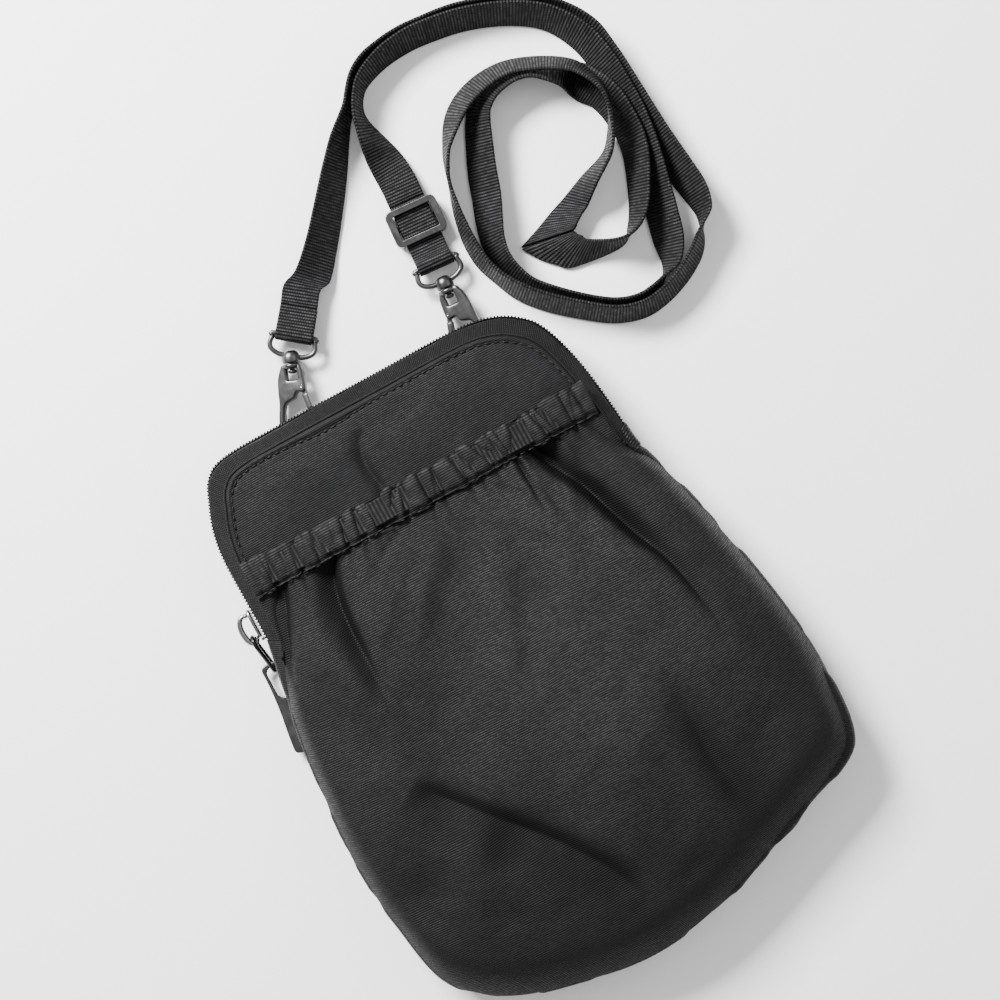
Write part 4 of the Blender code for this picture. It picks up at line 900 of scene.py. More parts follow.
def frontHeight(x, y, edge):
    top = frontZ + pouch["panel"]
    look = frontPanel
    z = top - look["roll"] * within(1 - edge / look["rollReach"]) ** 2
    z = z + look["puff"] * within(edge / look["puffReach"]) ** 0.7
    z = z - look["groove"] * bell(nearStitch(x, y), look["grooveWidth"])
    z = z + look["ridge"] * bell(edge - look["rollReach"], look["ridgeWidth"])
    z = z - look["creaseDepth"] * alongFold(x, y, creaseLine, *look["creaseWidths"])
    for px, py, size, lift in windowPuffs:
        z = z + lift * np.exp(-(((x - px) / size) ** 2 + ((y - py) / size) ** 2))
    for lift, size, seed in look["lumps"]:
        z = z + lift * gridNoise(x, y, size, seed) * within(edge / look["lumpFade"])
    return np.where(y < look["pocketFrom"], np.minimum(z, top + look["pocketRoom"]), z)


frontRings = np.concatenate([np.linspace(0.03, 0.8, 64), np.linspace(0.807, 1.0, 44)])
frontCloth = discCloth("frontCloth", pouch["seamInset"], pouch["seamInset"], frontRings, frontHeight, fineNylon,
                       (0.0, 40.0))
faceAway(frontCloth, upwards)
thicken(frontCloth, frontPanel["thickness"])
settle(frontCloth, "pouch", "front_panel")

# the turned edge of the cloth at the front seam
turnedEdge = {"inset": 5.9, "lift": 0.45, "radius": 0.5, "wave": 0.12, "past": 14.0, "sides": 10, "cloth": 330.0}
edgeRuns = np.linspace(-turnedEdge["past"], zipRun + turnedEdge["past"], 900)
x, y = edgeAt(edgeRuns, turnedEdge["inset"], turnedEdge["inset"])
wave = turnedEdge["wave"] * gridNoise(edgeRuns, np.full(len(edgeRuns), 3.0), 5.0, 71)
path = np.stack([x, y, frontZ + turnedEdge["lift"] + wave], axis=1)
seamEdge = sweep("seamTurnedEdge", path, turnedEdge["radius"], fineNylon, turnedEdge["sides"])
around = np.tile(np.linspace(0.0, 2 * math.pi * turnedEdge["radius"], turnedEdge["sides"]), len(path) + 2)
along = np.repeat(np.linspace(0.0, turnedEdge["cloth"], len(path) + 2), turnedEdge["sides"])
clothCoordinates(seamEdge, np.stack([around, along, np.zeros(len(around))], axis=1))
settle(seamEdge, "pouch")
print("stage: pouch shell made")


def stitches(name, line, heightAt, look, material):
    # short thread bars along a line of points in millimetres
    run = runAlong(line)
    length, radius, sides = look["length"], look["radius"], 6
    steps, lifts, girths = (0.0, 0.12, 0.5, 0.88, 1.0), (-1.2, 0.2, 0.7, 0.2, -1.2), (0.5, 0.95, 1.05, 0.95, 0.5)
    points, faces = [], []
    for mark in np.arange(0.0, run[-1] - length, look["pitch"]):
        stations = mark + length * np.array(steps)
        x = np.interp(stations, run, line[:, 0])
        y = np.interp(stations, run, line[:, 1])
        path = np.stack([x, y, heightAt(x, y) + radius * np.array(lifts)], axis=1)
        tangent = unit(np.gradient(path, axis=0))
        side = unit(np.cross(tangent, np.array([0.0, 0.0, 1.0])))
        top = np.cross(side, tangent)
        base = len(points)
        for i, girth in enumerate(girths):
            for k in range(sides):
                angle = 2 * math.pi * k / sides
                away = math.cos(angle) * side[i] + math.sin(angle) * top[i]
                points.append((path[i] + radius * girth * away) * mm)
        faces += [tuple(base + v for v in face) for face in tubeFaces(len(steps), sides)]
    return addMesh(name, points, faces, material)


def panelTop(x, y):
    return frontHeight(x, y, np.full(np.shape(x), stitch["inset"])) + 0.1


upperStitch = np.array([p for p in stitchLine if p[1] > stitch["lowest"]])
upperStitch = upperStitch[np.argsort(np.arctan2(upperStitch[:, 0], upperStitch[:, 1] - 30.0))]
topstitch = stitches("topStitching", upperStitch, panelTop, stitch, threadBlack)
settle(topstitch, "pouch")

# front pocket, in millimetres
pocket = {
    "bulge": 10.5, "columns": 420, "rows": 260, "clothPower": 0.94, "mouthLift": 0.8, "least": 0.75,
    "thickness": 0.7, "rollDrop": 5.4, "rollFrom": 0.915, "rollTo": 0.9, "stripDrawIn": 1.3, "swell": 1.9,
    "lumps": ((0.46, 13.0, 33), (0.184, 6.0, 34), (0.0552, 2.6, 35)), "gatherDepth": 0.9, "gatherReach": 16.0,
    "gatherSpread": 0.0045, "gatherFade": 1.6, "gatherWidths": (1.1, 2.2), "streak": 0.30, "streakSize": 4.2,
    "streakFrom": 8.0, "streakReach": 75.0, "fanReach": 60.0, "rollLeft": (-50.0, -18.0), "rollRight": (-54.0, -32.0),
    "stripAcross": (5.0, 45.0), "stripDown": (30.0, 62.0), "edgeFade": 0.10, "foldFade": 0.05, "rollPower": 2.2,
}
# how far the weave's ribs bend on the pocket
ribBend = {"lift": 2.2, "x": 45.0, "width": 20.0, "reach": 60.0, "wave": 0.4, "waveSize": 26.0, "rise": 0.12}
casing = {
    "width": 13.0, "height": 3.0, "y": 65.4, "stations": 900, "sides": 40, "pleatDepth": 1.7,
    "mostPleat": 1.25, "lift": 0.35, "shove": 0.22, "edgeMove": 1.05, "edgeWave": 0.5, "seamDip": 0.75,
    "seamPlace": 0.86, "sag": 1.6, "sagX": -8.0, "sagWidth": 45.0, "sagLift": 0.8,
    "crests": ((0.28, 3.4, 51), (0.1, 1.7, 52)), "flanks": (1.9, 0.85, 1.35), "shoveWidth": 1.6, "dipWidth": 0.10,
    "under": 0.25, "weaveStretch": 1.25,
}
smallGather = {
    "count": 40, "between": (-64.0, 58.0), "slant": (-3.4, 3.4), "depth": (0.15, 0.5), "topSlant": (-1.3, 1.8),
}
riseShares = [
    (0.0, 0.66), (0.2, 0.78), (0.4, 0.92), (0.6, 0.98), (0.75, 0.86), (0.88, 0.56), (0.96, 0.26), (1.0, 0.0),
]
edgeRiseShares = [
    (0.0, 0.66), (0.2, 0.65), (0.4, 0.61), (0.6, 0.52), (0.75, 0.39), (0.88, 0.22), (0.96, 0.09), (1.0, 0.0),
]
# gathers of the casing: x at its top edge, x at its stitched edge, depth
gathers = [
    (-63.5, -64.8, 0.4), (-56.8, -59.4, 0.9), (-52.2, -54.6, 0.4), (-47.1, -49.7, 0.9), (-42.5, -43.2, 0.45),
    (-37.6, -38.4, 0.3), (-30.8, -32.8, 1.0), (-26.6, -26.9, 1.0), (-21.0, -21.4, 0.55), (-17.1, -18.4, 0.6),
    (-11.6, -16.2, 0.95), (-8.4, -11.3, 0.8), (-2.2, -1.8, 1.0), (4.0, 3.0, 0.8), (8.9, 12.1, 0.85),
    (13.1, 16.4, 0.7), (16.0, 21.9, 0.9), (19.3, 24.5, 0.8), (22.6, 26.1, 0.7), (26.1, 28.4, 0.6),
    (32.3, 32.6, 1.0), (35.9, 35.9, 0.8), (40.8, 42.4, 0.95), (43.7, 47.0, 0.7), (50.5, 51.2, 0.9),
    (55.5, 55.8, 0.4),
]
# long folds of the pocket: points of (x, y, strength), then the widths on either side, then the depth
pocketFolds = [
    ([(34.5, 60.0, 0.5), (35.9, 57.5, 0.8), (39.8, 49.3, 1.0), (44.7, 39.6, 1.0), (48.6, 28.2, 1.0),
      (52.2, 18.4, 0.9), (56.7, 8.0, 0.5), (60.3, -8.0, 0.25), (62.6, -26.0, 0.0)], 4.6, 1.9, 7.4),
    ([(28.9, 60.0, 0.8), (29.1, 56.5, 1.0), (29.3, 47.0, 0.7), (29.6, 38.0, 0.0)], 1.4, 1.0, 2.2),
    ([(31.8, 50.0, 0.0), (32.6, 45.0, 0.7), (34.3, 36.3, 0.5), (35.8, 26.0, 0.0)], 2.4, 2.0, 0.9),
    ([(-37.0, 60.0, 0.5), (-40.6, 56.5, 0.9), (-43.8, 47.0, 1.0), (-44.9, 36.0, 0.8), (-44.9, 24.0, 0.4),
      (-45.2, 8.0, 0.0)], 1.8, 4.6, 5.6),
    ([(-57.5, 60.0, 0.6), (-60.4, 54.5, 0.9), (-64.3, 46.0, 0.9), (-68.6, 34.7, 0.4),
      (-70.0, 28.0, 0.0)], 1.6, 2.8, 4.0),
    ([(-50.5, -17.5, 0.0), (-46.0, -24.5, 0.7), (-39.9, -31.6, 0.9), (-31.8, -41.1, 1.0), (-22.0, -52.5, 1.0),
      (-15.5, -61.3, 0.9), (-9.0, -71.1, 0.8), (-4.9, -80.2, 0.7), (-4.3, -88.6, 0.3),
      (-5.5, -97.0, 0.0)], 3.6, 8.5, 3.6),
    ([(36.8, -28.0, 0.0), (38.8, -42.0, 0.7), (38.8, -56.0, 1.0), (41.3, -72.0, 0.8),
      (44.0, -84.0, 0.0)], 7.0, 5.0, 2.2),
    ([(56.5, 56.0, 0.6), (61.6, 47.7, 0.9), (69.1, 41.2, 0.4), (72.5, 37.5, 0.0)], 1.5, 2.0, 1.1),
    ([(10.5, 58.5, 0.0), (15.0, 57.2, 0.5), (22.0, 52.5, 0.9), (27.0, 46.5, 0.6),
      (28.0, 41.0, 0.0)], 1.3, 1.8, 0.9),
    ([(-10.0, 57.5, 0.0), (-16.0, 56.5, 0.7), (-24.5, 52.0, 0.8), (-29.5, 47.0, 0.3),
      (-31.0, 43.0, 0.0)], 1.5, 1.6, 0.7),
    ([(44.0, 58.0, 0.6), (50.5, 49.0, 0.6), (56.0, 36.0, 0.3), (60.0, 22.0, 0.0)], 2.2, 2.6, 0.7),
]
# soft raised ridges and hollows: x, y, half widths, turn in degrees, height
pocketSwells = [
    (-15.0, 38.0, 5.0, 17.0, 40.0, 0.9), (2.5, 18.0, 6.0, 20.0, 22.0, 0.8), (-53.5, 26.0, 6.0, 22.0, -12.0, 1.1),
    (-61.0, -52.0, 13.0, 16.0, 0.0, -1.2), (-44.0, -48.0, 9.0, 22.0, 38.0, 1.3), (-63.0, 4.0, 11.0, 15.0, 0.0, -0.8),
    (28.0, 52.0, 5.0, 9.0, 0.0, 0.5), (26.0, 20.0, 7.0, 24.0, 8.0, 0.5), (10.0, -42.0, 14.0, 30.0, 6.0, 0.8),
    (66.0, -20.0, 8.0, 20.0, -6.0, 0.6), (62.0, -55.0, 12.0, 12.0, 0.0, -0.7), (23.0, -88.0, 16.0, 7.0, 8.0, -0.7),
    (-30.0, -2.0, 14.0, 24.0, 30.0, -0.6), (41.0, 45.0, 3.2, 12.0, 24.0, 0.8),
]


def tableAt(shares, value):
    # a table of (share, height) read with its corners rounded off
    count, window = 201, 17
    half = window // 2
    fineSteps = np.linspace(0.0, 1.0, count)
    raw = np.interp(fineSteps, *zip(*shares))
    wide = np.concatenate([np.full(half, raw[0]), raw, 2 * raw[-1] - raw[-2:-half - 2:-1]])
    soft = np.convolve(wide, np.ones(window) / window, mode="valid")[:count]
    soft[-1] = raw[-1]
    return np.interp(value, fineSteps, soft)


def seamCrossing(y, side):
    # x of the front seam at a height, on the right (1) or the left (-1)
    x, along = edgeAt(allRuns, pouch["seamInset"], pouch["seamInset"])
    best = None
    for i in range(len(x)):
        j = (i + 1) % len(x)
        if (along[i] - y) * (along[j] - y) <= 0 and along[i] != along[j]:
            t = (y - along[i]) / (along[j] - along[i])
            px = x[i] + (x[j] - x[i]) * t
            if px * side > 0:
                best = px
    return best


mouthY = casing["y"] - casing["width"] / 2 - pouch["gap"]
mouthRight, mouthLeft = seamCrossing(mouthY, 1), seamCrossing(mouthY, -1)
mouthMiddle = (mouthLeft + mouthRight) / 2
seamRuns = np.linspace(0.0, wholeRun, 2000, endpoint=False)
plainX, plainY = edgeAt(seamRuns, pouch["seamInset"], pouch["seamInset"])


def eased(value, low, high):
    t = within((value - low) / (high - low))
    return t * t * (3 - 2 * t)


# the pocket's cloth rolls over its seam almost to the outline, less so beside the zip
rollShare = np.where(plainX < 0, eased(-plainY, *pocket["rollLeft"]), eased(-plainY, *pocket["rollRight"]))
stripShare = eased(plainX, *pocket["stripAcross"]) * eased(-plainY, *pocket["stripDown"])
rolledInset = pouch["seamInset"] - rollShare * (pouch["seamInset"] - pocket["rollTo"])
rolledInset = rolledInset + pocket["stripDrawIn"] * stripShare
seamX, seamY = edgeAt(seamRuns, rolledInset, rolledInset)
keep = plainY < mouthY
turnOrder = np.argsort(-np.arctan2(seamX[keep], -(seamY[keep] - mouthY)))
seamX, seamY, rollShare = seamX[keep][turnOrder], seamY[keep][turnOrder], rollShare[keep][turnOrder]
seamX = np.concatenate([[mouthRight], seamX, [mouthLeft]])[::-1]
seamY = np.concatenate([[mouthY], seamY, [mouthY]])[::-1]
rollShare = np.concatenate([[0.0], rollShare, [0.0]])[::-1]
seamRun = runAlong(np.stack([seamX, seamY], axis=1))
seamRun = seamRun / seamRun[-1]
seamAngle = np.arctan2(seamX - mouthMiddle, -(seamY - mouthY))
seamReach = np.hypot(seamX - mouthMiddle, seamY - mouthY)


def pocketBase(x, y):
    # plain bulge of the pocket, the share of the way to its seam, and how far it rolls over there
    angle = np.arctan2(x - mouthMiddle, -(y - mouthY))
    reach = np.maximum(np.interp(angle, seamAngle, seamReach), 1e-6)
    r = within(np.hypot(x - mouthMiddle, y - mouthY) / reach)
    turn = np.interp(angle, seamAngle, seamRun)
    edgeShare = tableAt(edgeRiseShares, r)
    weight = np.minimum(1.0, 2.2 * np.sin(math.pi * turn)) * np.minimum(1.0, 3.0 * r)
    share = edgeShare + (tableAt(riseShares, r) - edgeShare) * weight
    return pocketZ + pouch["cloth"] + pocket["bulge"] * share, r, np.interp(angle, seamAngle, rollShare)


def pocketHeight(x, y):
    z, r, roll = pocketBase(x, y)
    below = mouthY - y
    inside = within((1 - r) / pocket["edgeFade"])
    for line, near, far, depth in pocketFolds:
        z = z - depth * alongFold(x, y, line, near, far) * within((1 - r) / pocket["foldFade"])
    for px, py, wide, long, turn, lift in pocketSwells:
        c, s = math.cos(math.radians(turn)), math.sin(math.radians(turn))
        a, b = (x - px) * c - (y - py) * s, (x - px) * s + (y - py) * c
        z = z + pocket["swell"] * lift * np.exp(-((a / wide) ** 2 + (b / long) ** 2)) * inside
    # small gathers that run down from the stitched edge and fade
    narrow, widening = pocket["gatherWidths"]
    for topPlace, footPlace, depth in gathers:
        fall = within(below / (pocket["gatherReach"] * (0.45 + 0.55 * depth)))
        off = x - footPlace - (footPlace - mouthMiddle) * pocket["gatherSpread"] * below
        gather = (1 - fall) ** pocket["gatherFade"] * bell(off, narrow + widening * fall)
        z = z - pocket["gatherDepth"] * depth * gather
    fan = (x - mouthMiddle) * pocket["fanReach"] / np.maximum(pocket["fanReach"] + below * 0.45, 1.0)
    streak = gridNoise(fan, y * 0.12, pocket["streakSize"], 31)
    fading = within(below / pocket["streakFrom"]) * np.exp(-np.maximum(below, 0) / pocket["streakReach"])
    z = z + pocket["streak"] * streak * inside * fading
    for lift, size, seed in pocket["lumps"]:
        z = z + lift * inside * gridNoise(x, y, size, seed)
    fallAtSeam = within((r - pocket["rollFrom"]) / (1 - pocket["rollFrom"])) ** pocket["rollPower"]
    return np.maximum(z, pocketZ + pocket["least"]) - pocket["rollDrop"] * roll * fallAtSeam


across = np.linspace(0.0, 1.0, pocket["columns"])
down = np.linspace(0.0, 1.0, pocket["rows"])[:, None] ** pocket["clothPower"]
topX = mouthLeft + (mouthRight - mouthLeft) * across
footX = np.interp(across, seamRun, seamX)
footY = np.interp(across, seamRun, seamY)
gridX = topX + (footX - topX) * down
gridY = mouthY + pocket["mouthLift"] * (1 - down) + (footY - mouthY) * down
gridZ = pocketHeight(gridX, gridY)
rise = ribBend["lift"] * bell(gridX - ribBend["x"], ribBend["width"])
warpY = gridY + rise * within((mouthY - gridY) / ribBend["reach"])
warpY = warpY + ribBend["wave"] * gridNoise(gridX, gridY, ribBend["waveSize"], 41) + ribBend["rise"] * gridZ
pocketPoints = np.stack([gridX, gridY, gridZ], axis=2).reshape(-1, 3) * mm
pocketCloth = addMesh("pocketCloth", pocketPoints, gridFaces(pocket["rows"], pocket["columns"]), ribbedNylon)
clothCoordinates(pocketCloth, np.stack([gridX, warpY, gridZ], axis=2).reshape(-1, 3))
# painted sheen in the middle, painted shade towards the sides, in the folds and along the rolled edge
pocketPaintedShade = {
    "x": 20.0, "y": 2.0, "wide": 50.0, "tall": 66.0, "sides": 0.62, "folds": 0.36, "edge": 0.85,
    "edgeFrom": 0.90, "edgeReach": 0.08, "most": 0.95,
}
fromX, fromY = (gridX - pocketPaintedShade["x"]) / pocketPaintedShade["wide"], (gridY - pocketPaintedShade["y"]) / pocketPaintedShade["tall"]
shadow = pocketPaintedShade["sides"] * (1 - np.exp(-fromX ** 2 - fromY ** 2))
# painted shade in the pocket's folds
for line, near, far, depth in pocketFolds:
    shadow = shadow + pocketPaintedShade["folds"] * depth * alongFold(gridX, gridY, line, near, far)
# painted shade where the cloth rolls over at the seam
shadow = shadow + pocketPaintedShade["edge"] * within((down - pocketPaintedShade["edgeFrom"]) / pocketPaintedShade["edgeReach"])
clothShadow(pocketCloth, np.clip(shadow, 0.0, pocketPaintedShade["most"]))
faceAway(pocketCloth, upwards)
thicken(pocketCloth, pocket["thickness"])
settle(pocketCloth, "pouch", "pocket_panel")
print("stage: pocket made")

# gathered casing: a flat tube whose cloth is drawn up on elastic
pleatChance = np.random.default_rng(77)
smallGathers = [(x, x + pleatChance.uniform(*smallGather["slant"]), pleatChance.uniform(*smallGather["depth"]))
                for x in pleatChance.uniform(*smallGather["between"], smallGather["count"])]
slants = {row[0]: pleatChance.uniform(*smallGather["topSlant"]) for row in gathers}
casingLeft, casingRight = seamCrossing(casing["y"], -1), seamCrossing(casing["y"], 1)


def casingMiddle(x):
    # height of the casing's middle, which rises with the pocket between the seams
    share = (x - casingLeft) / (casingRight - casingLeft)
    return pocketZ + casing["height"] / 2 + pocket["bulge"] * tableAt(edgeRiseShares, np.abs(2 * share - 1))


def pleatOf(off, wide, narrow, power):
    # a pleat that is steeper on its left flank
    return np.where(off > 0, np.exp(-np.abs(off / wide) ** power), np.exp(-np.abs(off / narrow) ** power))


lineX = np.linspace(casingLeft, casingRight, casing["stations"])
lineZ = casingMiddle(lineX)
flatEnd = np.full(casing["stations"], 5.0)
sag = casing["sagLift"] - casing["sag"] * bell(lineX - casing["sagX"], casing["sagWidth"])
casingPoints, casingValues = [], []
for angle in np.linspace(0.0, 2 * math.pi, casing["sides"], endpoint=False):
    w, sine = math.cos(angle), math.sin(angle)
    flat = abs(sine) ** 0.6 * math.copysign(1.0, sine)
    upper = 1.0 if flat > 0 else casing["under"]
    y = casing["y"] + casing["width"] / 2 * w
    pleat, shove = np.zeros(casing["stations"]), np.zeros(casing["stations"])
    for topPlace, footPlace, depth in gathers + smallGathers:
        off = lineX - footPlace - (topPlace + slants.get(topPlace, 0.0) - footPlace) * (w + 1) / 2
        pleat += depth * pleatOf(off, *casing["flanks"])
        shove += casing["shove"] * depth * off * bell(off, casing["shoveWidth"])
    pleat = np.minimum(pleat, casing["mostPleat"])
    crest = sum(lift * gridNoise(lineX, np.full(casing["stations"], y), size, seed)
                for lift, size, seed in casing["crests"])
    z = lineZ + casing["height"] / 2 * flat * (0.92 + 0.10 * sine)
    z = z - casing["pleatDepth"] * pleat * upper * (0.45 + 0.55 * abs(sine) ** 0.5) + (crest + casing["lift"]) * upper
    wave = gridNoise(lineX, flatEnd, 2.6, 53)
    y = y - casing["edgeMove"] * pleat * w + casing["edgeWave"] * w * wave + sag * max(w, 0.0)
    dip = casing["seamDip"] * bell(w + casing["seamPlace"], casing["dipWidth"]) if flat > 0 else 0.0
    casingPoints.append(np.stack([lineX - shove, y, np.maximum(z - dip, pocketZ - 0.2)], axis=1))
    casingValues.append(np.stack([lineX * casing["weaveStretch"], y + flat, z], axis=1))
casingPoints = np.stack(casingPoints, axis=1).reshape(-1, 3) * mm
gatheredCasing = addMesh("gatheredCasing", casingPoints, gridFaces(casing["stations"], casing["sides"], True),
                         casingNylon)
clothCoordinates(gatheredCasing, np.stack(casingValues, axis=1).reshape(-1, 3))
settle(gatheredCasing, "pouch", "pocket_casing")

casingStitch = {
    "pitch": 3.1, "length": 2.1, "radius": 0.24, "ends": 2.0, "lift": 0.62, "pleat": 1.0, "flanks": (1.7, 0.75, 2),
}


def casingSeamHeight(x, y):
    pleat = sum(depth * pleatOf(x - footPlace, *casingStitch["flanks"]) for topPlace, footPlace, depth in gathers)
    return casingMiddle(x) + casingStitch["lift"] - casingStitch["pleat"] * pleat


stitchX = np.linspace(casingLeft + casingStitch["ends"], casingRight - casingStitch["ends"], 300)
stitchY = np.full(len(stitchX), casing["y"] - casing["seamPlace"] * casing["width"] / 2)
casingStitches = stitches("casingStitching", np.stack([stitchX, stitchY], axis=1), casingSeamHeight,
                          casingStitch, threadBlack)
settle(casingStitches, "pouch")

# elastic inside the casing
elastic = {"width": 8.0, "thickness": 0.9, "ends": 1.5, "step": 1.2}
elasticX = np.linspace(casingLeft + elastic["ends"], casingRight - elastic["ends"], 260)[::6]
elasticRibs = [(x, casing["y"], z, 0.0, elastic["width"] / 2, 0.0) for x, z in zip(elasticX, casingMiddle(elasticX))]
elasticBand = strapMesh("elasticBand", elasticRibs, elasticWeave, elastic["step"], elastic["thickness"])[0]
settle(elasticBand, "pouch", "pocket_elastic")

# linings
lining = {
    "inset": 7.8, "topInset": 24.8, "lumps": 0.12, "lumpSize": 12.0, "edgeFade": 4.0, "rear": 0.1,
    "front": 0.55, "thickness": 0.3,
}
liningRings = np.concatenate([np.linspace(0.06, 0.96, 30), [0.98, 1.0]])


def liningHeight(level):
    def height(x, y, edge):
        lumps = lining["lumps"] * (1 + gridNoise(x, y, lining["lumpSize"], 61))
        return level + lumps * within(edge / lining["edgeFade"])
    return height


for name, node, topInset, level, facing in (
        ("liningRear", "lining_back", lining["topInset"], backZ + lining["rear"], upwards),
        ("liningFront", "lining_front", lining["inset"], seamZ - lining["front"], downwards)):
    piece = discCloth(name, lining["inset"], topInset, liningRings, liningHeight(level), liningCloth)
    faceAway(piece, facing)
    thicken(piece, lining["thickness"])
    settle(piece, "pouch", node)
print("stage: casing and linings made")

# zip, in millimetres
coil = {
    "pitch": 1.15, "wire": 0.2, "radius": 0.56, "flat": 0.85, "cord": 0.34, "inset": 0.4, "outwards": 0.12,
    "ends": 0.6, "points": 3600,
}


def coilMesh(name, z, hand):
    # a wire wound round a cord, along the zip
    side, top = insetAt(z)
    runs = np.linspace(coil["ends"], zipRun - coil["ends"], coil["points"])
    x, y = edgeAt(runs, side + coil["inset"], top + coil["inset"])
    heading = unit(np.stack([np.gradient(x), np.gradient(y)], axis=1))
    turns = 2 * math.pi * runs / coil["pitch"]
    out = coil["radius"] * np.cos(turns) * coil["flat"] + coil["outwards"]
    rise = coil["radius"] * np.sin(turns) * hand
    path = np.stack([x - heading[:, 1] * out, y + heading[:, 0] * out, z + rise], axis=1)
    core = np.stack([x, y, np.full(len(x), z)], axis=1)[::12]
    return joined(name, [sweep(name + "Wire", path, coil["wire"], coilPlastic, 5),
                         sweep(name + "Cord", core, coil["cord"], coilPlastic, 8)])


settle(coilMesh("coilRear", zipZ - pouch["coilOffset"], 1.0), "pouch", "zip_coil_rear")
settle(coilMesh("coilFront", zipZ + pouch["coilOffset"], -1.0), "pouch", "zip_coil_front")

# slider, with its bail, link and pull tab
zipPull = {
    "place": (-71.89, 53.0, 13.21), "plate": 1.1, "length": 10.0, "height": 5.8, "room": 2.6, "edge": 0.42,
    "bridgeAt": 3.6, "bridge": 0.25, "bailGap": 0.6, "bailOut": 3.8, "bailLength": 10.0, "bailWire": 0.76,
    "bailSwell": 0.26, "bailSquash": 1.1,
}
bailShares = [
    (0.0, 0.34), (0.45, 0.36), (0.85, 0.20), (1.0, -0.10), (0.86, -0.45), (0.42, -0.62), (0.12, -0.53),
    (0.0, -0.44),
]
# right half of a slider plate, from foot to top, as shares of half height and half length
plateShares = [(0.62, -1.0), (0.92, -0.55), (1.0, 0.25), (0.8, 0.8), (0.3, 1.0)]
sliderPlace = shift(*zipPull["place"])


def sliderPlate(name, x):
    rightHalf = [(across * zipPull["height"] / 2, along * zipPull["length"] / 2) for across, along in plateShares]
    shape = [(-rightHalf[0][0], rightHalf[0][1])] + rightHalf + [(-px, py) for px, py in rightHalf[::-1]]
    made = plateWithEdge(name, [smoothLine(shape, 5)[:-1]], zipPull["plate"], zipPull["edge"], brightNickel)
    return placed(made, shift(x, 0.0, 0.0) @ turned(90.0, "Y"))


outerX = (zipPull["room"] + zipPull["plate"]) / 2
bridgeProfile = [(0.0, -outerX), (zipPull["bridge"], -outerX), (zipPull["bridge"], outerX), (0.0, outerX)]
bridge = placed(lathe("sliderBridge", bridgeProfile, brightNickel, 12),
                shift(0.0, zipPull["bridgeAt"], 0.0) @ turned(90.0, "Z"))
slider = joined("sliderBody", [sliderPlate("sliderOuter", -outerX), sliderPlate("sliderInner", outerX), bridge])
settle(placed(slider, sliderPlace), "slider", "zip_slider")
bailStart = -(zipPull["room"] / 2 + zipPull["plate"] + zipPull["bailGap"])
bailPath = smoothLine([(bailStart - out * zipPull["bailOut"], along * zipPull["bailLength"], 0.0)
                       for out, along in bailShares], 8)
bailRadius = zipPull["bailWire"] + zipPull["bailSwell"] * np.sin(np.linspace(0.0, math.pi, len(bailPath))) ** 2
bail = sweep("sliderBail", bailPath, bailRadius, brightNickel, 18, squash=zipPull["bailSquash"])
settle(placed(bail, sliderPlace), "slider", "slider_bail")

link = {"place": (-76.49, 49.2, 13.21), "arc": 2.4, "dropY": 8.8, "dropZ": 10.0, "wire": 0.72, "steps": 16}
linkLength = math.hypot(link["dropY"], link["dropZ"])
linkPath = []
for start, centre in ((-0.5, 0.0), (0.5, -linkLength)):
    for k in range(link["steps"] + 1):
        angle = math.pi * (start + k / link["steps"])
        linkPath.append((0.0, centre + link["arc"] * math.cos(angle), link["arc"] * math.sin(angle)))
pullLink = sweep("pullLink", linkPath, link["wire"], darkPlate, 14, closed=True, up=(1.0, 0.0, 0.0))
hang = math.degrees(math.atan2(link["dropZ"], link["dropY"]))
placed(pullLink, shift(*link["place"]) @ shift(0.0, -link["arc"], 0.0) @ turned(hang, "X"))
settle(pullLink, "link", "pull_link")

tab = {
    "place": (-76.49, 35.6, 2.61), "length": 32.0, "width": 6.5, "thickness": 1.2, "edge": 0.4, "corner": 1.9,
    "bar": 1.5, "slotLength": 11.0, "slotWidth": 4.2, "slotSteps": 36, "shift": 0.9,
}
tabShares = [(0.0, 0.0), (0.15, 0.0), (0.35, 0.012), (0.55, 0.034), (0.75, 0.066), (0.9, 0.086), (1.0, 0.094)]
tabLine = smoothLine([(-out * tab["length"], -along * tab["length"] + tab["bar"] / 2) for along, out in tabShares], 8)
heading = unit(np.gradient(tabLine, axis=0))
sideways = np.stack([heading[:, 1], -heading[:, 0]], axis=1)
tabRun = runAlong(tabLine)
fromEnd = np.clip(tab["corner"] - np.minimum(tabRun, tabRun[-1] - tabRun), 0.0, tab["corner"])
reach = tab["width"] / 2 - tab["corner"] + np.sqrt(tab["corner"] ** 2 - fromEnd ** 2)
left, right = tabLine + sideways * reach[:, None], tabLine - sideways * reach[:, None]
slotLoop = []
slotRadius, slotMiddle = tab["slotWidth"] / 2, -(tab["bar"] + tab["slotLength"]) / 2
for k in range(tab["slotSteps"]):
    angle = 2 * math.pi * k / tab["slotSteps"]
    run = math.copysign(tab["slotLength"] / 2 - slotRadius, math.sin(angle + 0.01))
    slotLoop.append((slotRadius * math.cos(angle), slotMiddle + run + slotRadius * math.sin(angle)))
pullTab = plateWithEdge("pullTab", [np.vstack([left, right[::-1]]), slotLoop], tab["thickness"], tab["edge"],
                        gunmetal, tab["thickness"] / 2)
placed(pullTab, shift(tab["place"][0] - tab["shift"], tab["place"][1] + link["arc"], tab["place"][2]))
settle(pullTab, "pull", "pull_tab")
print("stage: zip made")

